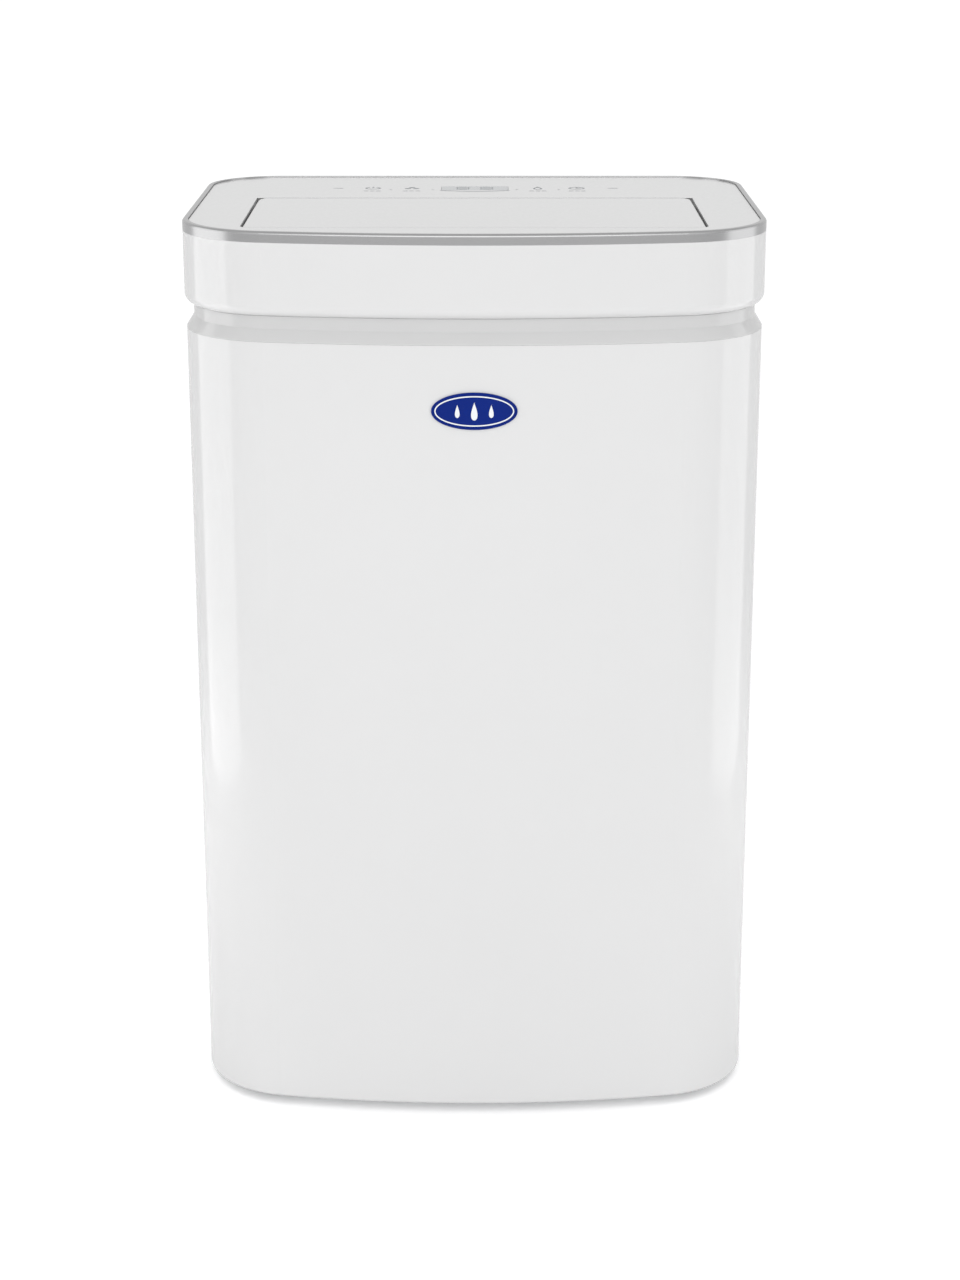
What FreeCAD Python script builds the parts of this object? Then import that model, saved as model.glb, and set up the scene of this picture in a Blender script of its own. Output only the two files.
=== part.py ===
# Portable dehumidifier: a tall casing with a carrying groove, a silver ring and a driven outlet flap on top.
# Air enters the louvred grille in the back, passes a pull-out filter, two finned coils and a blower, and
# leaves through the flap. Water drips into a bucket that slides out of the back. Units are millimetres.
# X is to the right seen from the front, Y goes to the back, Z is up. The origin is on the floor, under the
# middle of the casing.

import FreeCAD
import Part

import math
import os

V = FreeCAD.Vector

# --- overall casing ---
WIDTH = 386.0
DEPTH = 298.0
HEIGHT = 616.0
GROUND_GAP = 6.0           # lower edge of the casing above the floor
BOW_RADIUS = 770.0         # plan radius of the gently bowed front
FRONT_CORNER = 68.0        # plan radius of the front corners
REAR_CORNER = 50.0         # plan radius of the rear corners
WALL = 3.0                 # moulded wall of casing parts
THIN_WALL = 2.5            # moulded wall of inner parts
FIT = 0.3                  # gap between parts that sit in one another
SEAM_GAP = 0.4             # gap along the seam of the two body covers
SEAM_Y = 12.0              # where the side seam runs
BOTTOM_ROUND = 2.8         # rounding of the casing's lower edge

# --- heights of the upper casing ---
RING_HEIGHT = 7.0
RING_WIDTH = 4.0
RING_ROUND = 1.8
BAND_BOTTOM = 561.0
BAND_ROUND = 7.0
NECK_INSET = 6.0
NECK_BOTTOM = 552.5
BODY_TOP = 544.5
CHANNEL_FOOT = 0.8         # upright rim at the foot of the groove
BODY_INSET = 1.0
LIP_REACH = 9.0            # how far the band's ledge and lip reach inwards

# --- top deck and flap ---
DECK_TOP = HEIGHT - 1.0
DECK_PLATE = 3.0
FLAP_HALF = 151.0
FLAP_FRONT = -112.0
FLAP_REAR = 32.0
FLAP_THICK = 3.0
FLAP_GAP = 1.0
FLAP_CORNER = 8.0
FLAP_EDGE_ROUND = 2.5
PIVOT_FROM_REAR = 4.0      # hinge axis in front of the flap's rear edge
PIVOT_BELOW = 7.0          # hinge axis below the flap's top
PIN_R = 2.5
RUN_GAP = 0.1              # radial clearance of a running pin
LUG_T = 5.0
COLLAR_BOTTOM = 600.0
GUARD_THICK = 4.0
GUARD_BARS = 15
GUARD_BAR = 2.2

# --- controls ---
WINDOW_HALF = 24.0
WINDOW_DEPTH = 20.0
WINDOW_Y = 84.0
BOARD_HALF = 95.0
BOARD_DEPTH = 56.0
BOARD_TOP = 604.6
BOARD_T = 1.6

# --- badge ---
BADGE_WIDTH = 56.0
BADGE_HEIGHT = 24.5
BADGE_Z = 502.0

# --- base and casters ---
PAN_BOTTOM = 8.0
PAN_TOP = 36.0
CASTER_X = 140.0
CASTER_FRONT_Y = -96.0
CASTER_REAR_Y = 98.0
WHEEL_R = 12.5
WHEEL_HALF = 5.5
WHEEL_TRAIL = 9.0
AXLE_R = 1.8
FORK_GAP = 1.0
FORK_LEG = 2.3
FORK_TOP = 27.0
STEM_R = 4.0
STEM_TOP = 41.0
POCKET_R = 25.0
POCKET_TOP = 29.0
POST_TOP = 43.0            # top of the posts that carry the bucket bay and the power box

# --- bucket and its bay ---
BAY_TOP = 245.0
BAY_FRONT = -8.0
BAY_REAR = 139.0
OPENING_HALF = 138.0
OPENING_BOTTOM = 44.0
OPENING_TOP = 192.0
PANEL_GAP = 0.6
BUCKET_SIDE_GAP = 2.0
BUCKET_TOP = 178.0
BUCKET_CORNER = 12.0
GRIP_HALF = 48.0
GRIP_BOTTOM = 146.0
GRIP_TOP = 172.0
GRIP_DEPTH = 20.0
LEVEL_HALF = 5.0
LEVEL_BOTTOM = 70.0
LEVEL_TOP = 140.0
COVER_FRONT = 98.0         # the splash cover spans from here to the back of the bucket
HANDLE_Y = 70.0
HANDLE_Z = 184.5
HANDLE_REACH = 48.0
HANDLE_R = 3.5
FLOAT_Y = 102.0
FLOAT_Z = 166.0
FLOAT_PIN_R = 2.0

# --- coils, filter, intake ---
TRAY_TOP = 278.0
TRAY_FRONT = 20.0
TRAY_REAR = 126.5
SPOUT_Y = 36.0
FRAME_HALF = 150.0
FRAME_FRONT = 60.5
FRAME_REAR = 129.0
FRAME_TOP = 534.0
FILTER_FRONT = 131.5
FILTER_THICK = 5.0
FILTER_EDGE = 8.0
FILTER_CLEAR = 0.5
RAIL_GRIP = 5.0
GRILLE_HALF = 132.0
GRILLE_BOTTOM = 296.0
GRILLE_TOP = 516.0
GRILLE_SLATS = 24
SLAT_T = 1.8
COIL_HALF = 125.0
COIL_ROWS = 9
COIL_PITCH = 25.0
COIL_DEPTH = 22.0
TUBE_R = 4.7
TUBE_WALL = 0.8
FIN_COUNT = 21
FIN_T = 0.8
EVAPORATOR_Y = 113.0
CONDENSER_Y = 84.0

# --- blower ---
FAN_Z = 400.0
FAN_R = 85.0
FAN_FRONT = -18.0
FAN_REAR = 46.0
FAN_BLADES = 32
SCROLL_R = 106.0
SCROLL_FRONT = -30.0
SCROLL_REAR = 58.0
SCROLL_TOP = 506.0
THROAT_LEFT = -22.0
INLET_R = 70.0
MOTOR_R = 36.0
MOTOR_FRONT = -92.0
MOTOR_REAR = -37.0
LUG_CIRCLE = 43.0          # radius of the circle of the motor's three mounting lugs
SHAFT_R = 4.0

# --- compressor ---
COMP_X = -70.0
COMP_Y = -66.0
COMP_R = 54.0
COMP_BOTTOM = 44.0
COMP_TOP = 232.0
COMP_WALL = 3.0
STATOR_HEIGHT = 46.0
PUMP_HEIGHT = 34.0
FOOT_CIRCLE = 56.0
GROMMET_BOTTOM = 22.0
GROMMET_TOP = 40.0
STUD_R = 3.0
STUD_GAP = 0.2
DRIER_Y = 40.0
DRIER_TOP = 406.0
ACC_X = -150.0
ACC_R = 21.0
ACC_BOTTOM = 84.0
ACC_TOP = 200.0

# --- power box ---
POWER_X = 68.0
POWER_Y = -85.0
POWER_HALF_X = 38.0
POWER_HALF_Y = 40.0
POWER_TOP = 150.0
POWER_BOARD_Z = 52.6

# --- rear services ---
DRAIN_Z = 262.0
DRAIN_DOOR_R = 17.0
DRAIN_PIVOT_UP = 1.5        # hinge axis of the drain cover above its disc
DRAIN_PIVOT_IN = 1.8        # and below the rear face
DRAIN_RELIEF = 2.6          # room round that axis
SPIGOT_R = 6.0
SPIGOT_LENGTH = 15.0
CUP_R = 13.0
GLAND_X = -70.0
GLAND_Z = 26.0
GLAND_BORE_R = 4.0
GLAND_R = 7.7
SCREW_R = 2.0
SCREW_HEAD_R = 3.8
SCREW_BITE = 0.05          # radial gap of a screw in its boss
SCREW_REACH = 7.0          # how far the screws reach in behind the rear cover
BOSS_R = 4.6

REAR_FACE = DEPTH / 2 - BODY_INSET          # outer face of the rear cover
REAR_INNER = REAR_FACE - WALL
FLAP_UNDER = DECK_TOP - FLAP_THICK
PIVOT_Y = FLAP_REAR - PIVOT_FROM_REAR
PIVOT_Z = DECK_TOP - PIVOT_BELOW
FILTER_BOTTOM = TRAY_TOP + RAIL_GRIP
FILTER_TOP = FRAME_TOP - RAIL_GRIP
COIL_Z = (TRAY_TOP + FRAME_TOP) / 2
BUCKET_HALF = OPENING_HALF - BUCKET_SIDE_GAP
LEVEL_X = 32.0 - BUCKET_HALF                # slot that shows the water level
FLOAT_X = BUCKET_HALF - 30.0
SPOUT_X = 36.0 - BUCKET_HALF
SCREW_X = OPENING_HALF + THIN_WALL + 1.5    # the bay's screw bosses sit on its side walls
BUCKET_BOTTOM = OPENING_BOTTOM + 2.0
BUCKET_FRONT = BAY_FRONT + THIN_WALL + 1.5
BUCKET_REAR = REAR_INNER
PAN_SCREW_Z = 26.0
BAY_SCREW_Z = 230.0
FRAME_SCREW_Z = FRAME_TOP - BOSS_R
SCREWS = [(x, z) for z in (PAN_SCREW_Z, BAY_SCREW_Z, FRAME_SCREW_Z) for x in (-SCREW_X, SCREW_X)]
CASTERS = {
    "front_left": (-CASTER_X, CASTER_FRONT_Y),
    "front_right": (CASTER_X, CASTER_FRONT_Y),
    "rear_left": (-CASTER_X, CASTER_REAR_Y),
    "rear_right": (CASTER_X, CASTER_REAR_Y),
}


# --- small shapes ---
def box(x0, x1, y0, y1, z0, z1):
    return Part.makeBox(x1 - x0, y1 - y0, z1 - z0, V(x0, y0, z0))


def rod(radius, start, end):
    start, end = V(*start), V(*end)
    return Part.makeCylinder(radius, (end - start).Length, start, end - start)


def join(shapes):
    shapes = list(shapes)
    return shapes[0].multiFuse(shapes[1:]).removeSplitter()


def cut(shape, tools):
    for tool in tools:
        shape = shape.cut(tool)
    return shape


def is_along(edge, axis):
    if not isinstance(edge.Curve, Part.Line):
        return False
    return abs(abs(edge.Curve.Direction.dot(axis)) - 1) < 1e-6


def rounded(shape, radius, axis=V(0, 0, 1)):
    """The shape with its straight edges along axis rounded."""
    return shape.makeFillet(radius, [e for e in shape.Edges if is_along(e, axis)])


def soften(shape, radius, z):
    """The shape with the outer edges that lie at height z rounded."""
    edges = [e for e in shape.Edges if abs(e.BoundBox.ZMin - z) < 1e-4 and abs(e.BoundBox.ZMax - z) < 1e-4]
    return shape.makeFillet(radius, edges)


def bent_path(points, bend):
    """Straight runs through the points, joined by tangent arcs of radius bend."""
    points = [V(*p) for p in points]
    edges = []
    last = points[0]
    for before, corner, after in zip(points, points[1:], points[2:]):
        a = (before - corner).normalize()
        b = (after - corner).normalize()
        half = a.getAngle(b) / 2
        reach = bend / math.tan(half)
        middle = corner + (a + b).normalize() * (bend / math.sin(half) - bend)
        edges.append(Part.LineSegment(last, corner + a * reach).toShape())
        edges.append(Part.Arc(corner + a * reach, middle, corner + b * reach).toShape())
        last = corner + b * reach
    edges.append(Part.LineSegment(last, points[-1]).toShape())
    return Part.Wire(edges)


def pipe(wire, radius):
    first = wire.OrderedEdges[0]
    start = first.valueAt(first.FirstParameter)
    heading = first.tangentAt(first.FirstParameter)
    circle = Part.Wire(Part.makeCircle(radius, start, heading))
    return wire.makePipeShell([circle], True, True)


# --- casing outline ---
def outline(inset, z):
    """Plan outline of the casing at height z, moved inwards by inset: bowed front, straight sides."""
    bow_y = BOW_RADIUS - DEPTH / 2
    corner_x = WIDTH / 2 - FRONT_CORNER
    corner_y = bow_y - math.sqrt((BOW_RADIUS - FRONT_CORNER) ** 2 - corner_x ** 2)
    side = WIDTH / 2 - inset
    rear = DEPTH / 2 - inset
    rear_x = WIDTH / 2 - REAR_CORNER
    rear_y = DEPTH / 2 - REAR_CORNER
    toward = V(corner_x, corner_y - bow_y, 0).normalize()
    touch = V(0, bow_y, 0) + toward * (BOW_RADIUS - inset)
    middle = V(corner_x, corner_y, 0) + (toward + V(1, 0, 0)).normalize() * (FRONT_CORNER - inset)
    turn = (REAR_CORNER - inset) * math.sqrt(0.5)

    def at(x, y):
        return V(x, y, z)

    edges = [
        Part.Arc(at(-touch.x, touch.y), at(0, inset - DEPTH / 2), at(touch.x, touch.y)),
        Part.Arc(at(touch.x, touch.y), at(middle.x, middle.y), at(side, corner_y)),
        Part.LineSegment(at(side, corner_y), at(side, rear_y)),
        Part.Arc(at(side, rear_y), at(rear_x + turn, rear_y + turn), at(rear_x, rear)),
        Part.LineSegment(at(rear_x, rear), at(-rear_x, rear)),
        Part.Arc(at(-rear_x, rear), at(-rear_x - turn, rear_y + turn), at(-side, rear_y)),
        Part.LineSegment(at(-side, rear_y), at(-side, corner_y)),
        Part.Arc(at(-side, corner_y), at(-middle.x, middle.y), at(-touch.x, touch.y)),
    ]
    return Part.Wire([e.toShape() for e in edges])


def slab(inset, z0, z1):
    return Part.Face(outline(inset, z0)).extrude(V(0, 0, z1 - z0))


def hoop(outer_inset, inner_inset, z0, z1):
    return slab(outer_inset, z0, z1).cut(slab(inner_inset, z0 - 1, z1 + 1))


# --- casing ---
def body_shell():
    solid = soften(slab(BODY_INSET, GROUND_GAP, BODY_TOP), BOTTOM_ROUND, GROUND_GAP)
    return solid.cut(slab(BODY_INSET + WALL, GROUND_GAP - 1, BODY_TOP + 1))


def front_cover():
    front = box(-WIDTH, WIDTH, -DEPTH, SEAM_Y - SEAM_GAP / 2, 0, HEIGHT)
    return body_shell().common(front)


def screw_bosses(z, start):
    """The two bosses behind the rear cover that its screws at height z bite into."""
    return [rod(BOSS_R, (x, start, z), (x, REAR_INNER - FIT, z)) for x in (-SCREW_X, SCREW_X)]


def screw_holes(z):
    start = REAR_INNER - SCREW_REACH - 1
    return [rod(SCREW_R + SCREW_BITE, (x, start, z), (x, REAR_INNER + 1, z)) for x in (-SCREW_X, SCREW_X)]


def drain_hinge_rod(radius, half):
    y = REAR_FACE - DRAIN_PIVOT_IN
    z = DRAIN_Z + DRAIN_DOOR_R + DRAIN_PIVOT_UP
    return rod(radius, (-half, y, z), (half, y, z))


def rear_cover():
    rear = box(-WIDTH, WIDTH, SEAM_Y + SEAM_GAP / 2, DEPTH, 0, HEIGHT)
    shell = body_shell().common(rear)
    outside = REAR_FACE + 1
    inside = REAR_INNER - 6
    tools = [
        box(-OPENING_HALF, OPENING_HALF, inside, outside, OPENING_BOTTOM, OPENING_TOP),
        box(-GRILLE_HALF, GRILLE_HALF, inside, outside, GRILLE_BOTTOM, GRILLE_TOP),
        rod(DRAIN_DOOR_R + 0.7, (0, inside, DRAIN_Z), (0, outside, DRAIN_Z)),
        box(-6.4, 6.4, REAR_INNER - 1, outside, DRAIN_Z, DRAIN_Z + DRAIN_DOOR_R + DRAIN_PIVOT_UP + DRAIN_RELIEF),
        drain_hinge_rod(1.3, 8.4),
        rod(GLAND_R + FIT, (GLAND_X, inside, GLAND_Z), (GLAND_X, outside, GLAND_Z)),
        box(FRAME_HALF, WIDTH, FILTER_FRONT - FILTER_CLEAR, FILTER_FRONT + FILTER_THICK + FILTER_CLEAR,
            FILTER_BOTTOM - FILTER_CLEAR, FILTER_TOP + FILTER_CLEAR),
    ]
    for x, z in SCREWS:
        tools.append(rod(SCREW_R + 0.15, (x, inside, z), (x, outside, z)))
        tools.append(rod(SCREW_HEAD_R + 0.5, (x, REAR_FACE - 2.6, z), (x, outside, z)))
    return cut(shell, tools)


def top_band():
    top = HEIGHT - RING_HEIGHT
    solid = soften(slab(0, BAND_BOTTOM, top), BAND_ROUND, BAND_BOTTOM)
    inside = slab(WALL, BAND_BOTTOM + WALL, top - WALL)
    return cut(solid, [inside, slab(LIP_REACH, BAND_BOTTOM - 1, top + 1)])


def grip_channel():
    foot = BODY_TOP + CHANNEL_FOOT
    flare = Part.makeLoft([outline(BODY_INSET, foot), outline(NECK_INSET, NECK_BOTTOM)], True, True)
    neck = slab(NECK_INSET, NECK_BOTTOM, BAND_BOTTOM)
    solid = join([slab(BODY_INSET, BODY_TOP, foot), flare, neck])
    return solid.cut(slab(LIP_REACH, BODY_TOP - 1, BAND_BOTTOM + 1))


def trim_ring():
    solid = soften(slab(0, HEIGHT - RING_HEIGHT, HEIGHT), RING_ROUND, HEIGHT)
    return solid.cut(slab(RING_WIDTH, HEIGHT - RING_HEIGHT - 1, HEIGHT + 1))


def collar(inset, z0, z1):
    """Rectangle round the flap's aperture, drawn in by inset, as a block."""
    half = FLAP_HALF + FLAP_GAP - inset
    front = FLAP_FRONT - FLAP_GAP + inset
    rear = FLAP_REAR + PIVOT_FROM_REAR + 0.5 - inset
    return box(-half, half, front, rear, z0, z1)


def flap_outline_block(grow, z0, z1):
    block = box(-FLAP_HALF - grow, FLAP_HALF + grow, FLAP_FRONT - grow, FLAP_REAR + grow, z0, z1)
    return rounded(block, FLAP_CORNER + grow)


def pivot_rod(radius, x0, x1):
    return rod(radius, (x0, PIVOT_Y, PIVOT_Z), (x1, PIVOT_Y, PIVOT_Z))


def top_deck():
    rim = RING_WIDTH + FIT
    base = HEIGHT - RING_HEIGHT
    under = DECK_TOP - DECK_PLATE
    plate = slab(rim, base, DECK_TOP).cut(slab(rim + WALL, base - 1, under))
    bracket_in = FLAP_HALF + FLAP_GAP
    parts = [plate, collar(-THIN_WALL, COLLAR_BOTTOM, under + 0.5)]
    for side in (-1, 1):
        x0, x1 = sorted((side * bracket_in, side * (bracket_in + LUG_T)))
        parts.append(box(x0, x1, PIVOT_Y - 6, PIVOT_Y + 6, COLLAR_BOTTOM, under + 0.5))
        for y in (WINDOW_Y - BOARD_DEPTH / 2 + 5, WINDOW_Y + BOARD_DEPTH / 2 - 5):
            x = side * (BOARD_HALF - 8)
            parts.append(rod(3.0, (x, y, BOARD_TOP), (x, y, under + 0.5)))
    deck = join(parts)
    swing = math.hypot(PIVOT_FROM_REAR, PIVOT_BELOW)
    window = rounded(box(-WINDOW_HALF, WINDOW_HALF, WINDOW_Y - WINDOW_DEPTH / 2, WINDOW_Y + WINDOW_DEPTH / 2,
                         under - 1, DECK_TOP + 1), 2.0)
    tools = [
        collar(0, COLLAR_BOTTOM - 1, under),
        flap_outline_block(FLAP_GAP, under - 1, DECK_TOP + 1),
        pivot_rod(swing - 0.3, -bracket_in, bracket_in),
        pivot_rod(PIN_R + RUN_GAP, -WIDTH / 2, WIDTH / 2),
        window,
    ]
    stop = box(-FLAP_HALF + 20, FLAP_HALF - 20, FLAP_FRONT - FLAP_GAP - 1, FLAP_FRONT + 3,
               FLAP_UNDER - 2.3, FLAP_UNDER - FIT)
    return join([cut(deck, tools), stop])


def display_window():
    half = WINDOW_HALF - 0.2
    depth = WINDOW_DEPTH / 2 - 0.2
    block = box(-half, half, WINDOW_Y - depth, WINDOW_Y + depth, DECK_TOP - DECK_PLATE, DECK_TOP)
    return rounded(block, 1.8)


def badge():
    ellipse = Part.Ellipse(V(0, 0, 0), BADGE_WIDTH / 2, BADGE_HEIGHT / 2).toShape()
    face = Part.Face(Part.Wire(ellipse))
    face.rotate(V(0, 0, 0), V(1, 0, 0), 90)
    face.translate(V(0, -DEPTH / 2 - 5, BADGE_Z))
    oval = face.extrude(V(0, 20, 0))
    return oval.common(hoop(0, BODY_INSET, BADGE_Z - BADGE_HEIGHT, BADGE_Z + BADGE_HEIGHT))


# --- flap and its drive ---
def outlet_flap():
    plate = flap_outline_block(0, FLAP_UNDER, DECK_TOP)
    rear_edge = [e for e in plate.Edges if is_along(e, V(1, 0, 0))
                 and abs(e.BoundBox.YMin - FLAP_REAR) < 1e-4 and abs(e.BoundBox.ZMin - DECK_TOP) < 1e-4]
    plate = plate.makeFillet(FLAP_EDGE_ROUND, rear_edge)
    parts = [plate]
    for side in (-1, 1):
        x0, x1 = sorted((side * (FLAP_HALF - 8), side * (FLAP_HALF - 8 + LUG_T)))
        parts.append(box(x0, x1, PIVOT_Y - 4.5, PIVOT_Y + 4, PIVOT_Z - 5, FLAP_UNDER + 0.5))
    for x in (-90, -30, 30, 90):
        parts.append(box(x - 1, x + 1, FLAP_FRONT + 8, PIVOT_Y - 6, FLAP_UNDER - 5, FLAP_UNDER + 0.5))
    bracket_out = FLAP_HALF + FLAP_GAP + LUG_T
    parts.append(pivot_rod(PIN_R, -bracket_out, 4 - FLAP_HALF))
    parts.append(pivot_rod(PIN_R, FLAP_HALF - 4, bracket_out + 1.5))
    return join(parts)


def flap_motor():
    bracket_out = FLAP_HALF + FLAP_GAP + LUG_T
    low = PIVOT_Z - 8
    plate = box(bracket_out, bracket_out + 1.8, PIVOT_Y - 10, PIVOT_Y + 10, low - 8, DECK_TOP - DECK_PLATE)
    body = rod(11.0, (bracket_out + 1.8, PIVOT_Y, low), (bracket_out + 19, PIVOT_Y, low))
    return join([plate, body]).cut(pivot_rod(PIN_R + RUN_GAP, 0, bracket_out + 2.2))


def outlet_guard():
    top = COLLAR_BOTTOM - 1
    outer = collar(THIN_WALL + 2 * FIT, top - GUARD_THICK, top)
    edge = outer.BoundBox
    frame = outer.cut(collar(2 * THIN_WALL + 2 * FIT, 0, HEIGHT))
    parts = [frame]
    step = (edge.XLength - 2 * THIN_WALL) / (GUARD_BARS + 1)
    for n in range(GUARD_BARS):
        x = edge.XMin + THIN_WALL + step * (n + 1)
        parts.append(box(x - GUARD_BAR / 2, x + GUARD_BAR / 2, edge.YMin, edge.YMax, top - GUARD_THICK, top))
    for share in (0.25, 0.5, 0.75):
        y = edge.YMin + edge.YLength * share
        parts.append(box(edge.XMin, edge.XMax, y - GUARD_BAR / 2, y + GUARD_BAR / 2, top - GUARD_THICK, top))
    return join(parts)


def rectangle(x0, x1, y0, y1, z):
    return Part.makePolygon([V(x0, y0, z), V(x1, y0, z), V(x1, y1, z), V(x0, y1, z), V(x0, y0, z)])


def outlet_duct():
    foot = COLLAR_BOTTOM - 8
    low = SCROLL_TOP

    def funnel(inset):
        top = collar(FIT + inset, foot, foot + 1).BoundBox
        upper = rectangle(top.XMin, top.XMax, top.YMin, top.YMax, foot)
        left, right = THROAT_LEFT + inset, SCROLL_R - inset
        lower = rectangle(left, right, SCROLL_FRONT + inset, SCROLL_REAR - inset, low)
        return Part.makeLoft([lower, upper], True, True)

    funnel_wall = funnel(0).cut(funnel(THIN_WALL))
    rim = collar(FIT, foot, COLLAR_BOTTOM).cut(collar(FIT + THIN_WALL, foot - 1, COLLAR_BOTTOM + 1))
    return join([funnel_wall, rim])


# --- controls ---
def control_board():
    y0 = WINDOW_Y - BOARD_DEPTH / 2
    board = box(-BOARD_HALF, BOARD_HALF, y0, y0 + BOARD_DEPTH, BOARD_TOP - BOARD_T, BOARD_TOP)
    pads = [rod(5.0, (x, WINDOW_Y, BOARD_TOP), (x, WINDOW_Y, DECK_TOP - DECK_PLATE - 0.2))
            for x in (-73, -45, 45, 73)]
    half = WINDOW_HALF + 2
    depth = WINDOW_DEPTH / 2 + 2
    display = box(-half, half, WINDOW_Y - depth, WINDOW_Y + depth, BOARD_TOP, DECK_TOP - DECK_PLATE - 0.4)
    return Part.makeCompound([board, display] + pads)


# --- base and casters ---
def base_pan():
    inset = BODY_INSET + WALL + FIT
    tray = slab(inset, PAN_BOTTOM, PAN_TOP).cut(slab(inset + WALL, PAN_BOTTOM + WALL, PAN_TOP + 1))
    parts = [tray]
    for x, y in CASTERS.values():
        parts.append(rod(POCKET_R + WALL, (x, y, PAN_BOTTOM), (x, y, POCKET_TOP + WALL)))
        parts.append(rod(STEM_R + 4, (x, y, POCKET_TOP), (x, y, STEM_TOP)))
    posts = [(x, y) for x in (-95, 95) for y in (BAY_FRONT + 12, BAY_REAR - 14)]
    posts += [(POWER_X + dx, POWER_Y + dy) for dx in (-30, 30) for dy in (-30, 32)]
    for x, y in posts:
        parts.append(rod(5.5, (x, y, PAN_BOTTOM), (x, y, POST_TOP)))
    for x, y in compressor_feet():
        parts.append(rod(9.0, (x, y, PAN_BOTTOM), (x, y, GROMMET_BOTTOM)))
        parts.append(rod(STUD_R, (x, y, PAN_BOTTOM), (x, y, GROMMET_TOP + 9)))
    parts += screw_bosses(PAN_SCREW_Z, REAR_INNER - 12)
    pan = join(parts)
    tools = [rod(GLAND_R + FIT, (GLAND_X, REAR_INNER - 10, GLAND_Z), (GLAND_X, REAR_INNER + 1, GLAND_Z))]
    for x, y in CASTERS.values():
        tools.append(rod(POCKET_R, (x, y, PAN_BOTTOM - 1), (x, y, POCKET_TOP)))
        tools.append(rod(STEM_R + RUN_GAP, (x, y, PAN_BOTTOM), (x, y, STEM_TOP + 1)))
    return cut(pan, tools + screw_holes(PAN_SCREW_Z))


def caster_fork(x, y):
    axle_y = y + WHEEL_TRAIL
    inner = WHEEL_HALF + FORK_GAP
    outer = inner + FORK_LEG
    legs = []
    for side in (-1, 1):
        x0, x1 = sorted((x + side * inner, x + side * outer))
        leg = box(x0, x1, y - 4, axle_y + 5, WHEEL_R - 5, FORK_TOP)
        legs.append(rounded(leg, 4.0, V(1, 0, 0)))
    bridge = box(x - outer, x + outer, y - 4, y + 6, FORK_TOP - FORK_LEG, FORK_TOP)
    axle = rod(AXLE_R, (x - outer, axle_y, WHEEL_R), (x + outer, axle_y, WHEEL_R))
    stem = rod(STEM_R, (x, y, FORK_TOP - 1), (x, y, STEM_TOP))
    return join(legs + [bridge, axle, stem])


def caster_wheel(x, y):
    axle_y = y + WHEEL_TRAIL
    wheel = rod(WHEEL_R, (x - WHEEL_HALF, axle_y, WHEEL_R), (x + WHEEL_HALF, axle_y, WHEEL_R))
    wheel = wheel.makeFillet(1.5, [e for e in wheel.Edges if not is_along(e, V(1, 0, 0))])
    return wheel.cut(rod(AXLE_R + RUN_GAP, (x - 20, axle_y, WHEEL_R), (x + 20, axle_y, WHEEL_R)))


# --- bucket ---
def bucket_bay():
    outer = box(-OPENING_HALF - THIN_WALL, OPENING_HALF + THIN_WALL, BAY_FRONT, BAY_REAR, POST_TOP, BAY_TOP)
    inner = box(-OPENING_HALF, OPENING_HALF, BAY_FRONT + THIN_WALL, BAY_REAR + 1,
                BUCKET_BOTTOM - FIT, BAY_TOP - THIN_WALL)
    hole = rod(12.0, (SPOUT_X, SPOUT_Y, BAY_TOP - 10), (SPOUT_X, SPOUT_Y, BAY_TOP + 1))
    bay = join([outer] + screw_bosses(BAY_SCREW_Z, BAY_REAR - 9))
    return cut(bay, [inner, hole] + screw_holes(BAY_SCREW_Z))


def water_bucket():
    outer = rounded(box(-BUCKET_HALF, BUCKET_HALF, BUCKET_FRONT, BUCKET_REAR, BUCKET_BOTTOM, BUCKET_TOP),
                    BUCKET_CORNER)
    inner = rounded(box(-BUCKET_HALF + THIN_WALL, BUCKET_HALF - THIN_WALL, BUCKET_FRONT + THIN_WALL,
                        BUCKET_REAR - THIN_WALL, BUCKET_BOTTOM + THIN_WALL, BUCKET_TOP + 1),
                    BUCKET_CORNER - THIN_WALL)
    deep = REAR_FACE - GRIP_DEPTH
    recess = box(-GRIP_HALF, GRIP_HALF, deep, DEPTH, GRIP_BOTTOM, GRIP_TOP)
    recess_wall = box(-GRIP_HALF - THIN_WALL, GRIP_HALF + THIN_WALL, deep - THIN_WALL, DEPTH,
                      GRIP_BOTTOM - THIN_WALL, GRIP_TOP + THIN_WALL)
    bucket = outer.cut(recess).cut(inner.cut(recess_wall))
    ears = []
    for side in (-1, 1):
        x0, x1 = sorted((side * BUCKET_HALF, side * (BUCKET_HALF - THIN_WALL)))
        ear = box(x0, x1, HANDLE_Y - 9, HANDLE_Y + 9, BUCKET_TOP - 10, HANDLE_Z + HANDLE_R + 0.5)
        ears.append(rounded(ear, 4.0, V(1, 0, 0)))
    hole = rod(PIN_R + RUN_GAP, (-WIDTH, HANDLE_Y, HANDLE_Z), (WIDTH, HANDLE_Y, HANDLE_Z))
    return join([bucket] + ears).cut(hole)


def bucket_front():
    panel = box(-OPENING_HALF + PANEL_GAP, OPENING_HALF - PANEL_GAP, REAR_INNER, REAR_FACE,
                OPENING_BOTTOM + PANEL_GAP, OPENING_TOP - PANEL_GAP)
    panel = rounded(panel, 3.0, V(0, 1, 0))
    grip = box(-GRIP_HALF + 1, GRIP_HALF - 1, 0, DEPTH, GRIP_BOTTOM + 1, GRIP_TOP - 1)
    grip = rounded(grip, 8.0, V(0, 1, 0))
    level = rounded(box(LEVEL_X - LEVEL_HALF, LEVEL_X + LEVEL_HALF, 0, DEPTH, LEVEL_BOTTOM, LEVEL_TOP),
                    LEVEL_HALF - 0.01, V(0, 1, 0))
    return cut(panel, [grip, level])


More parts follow.
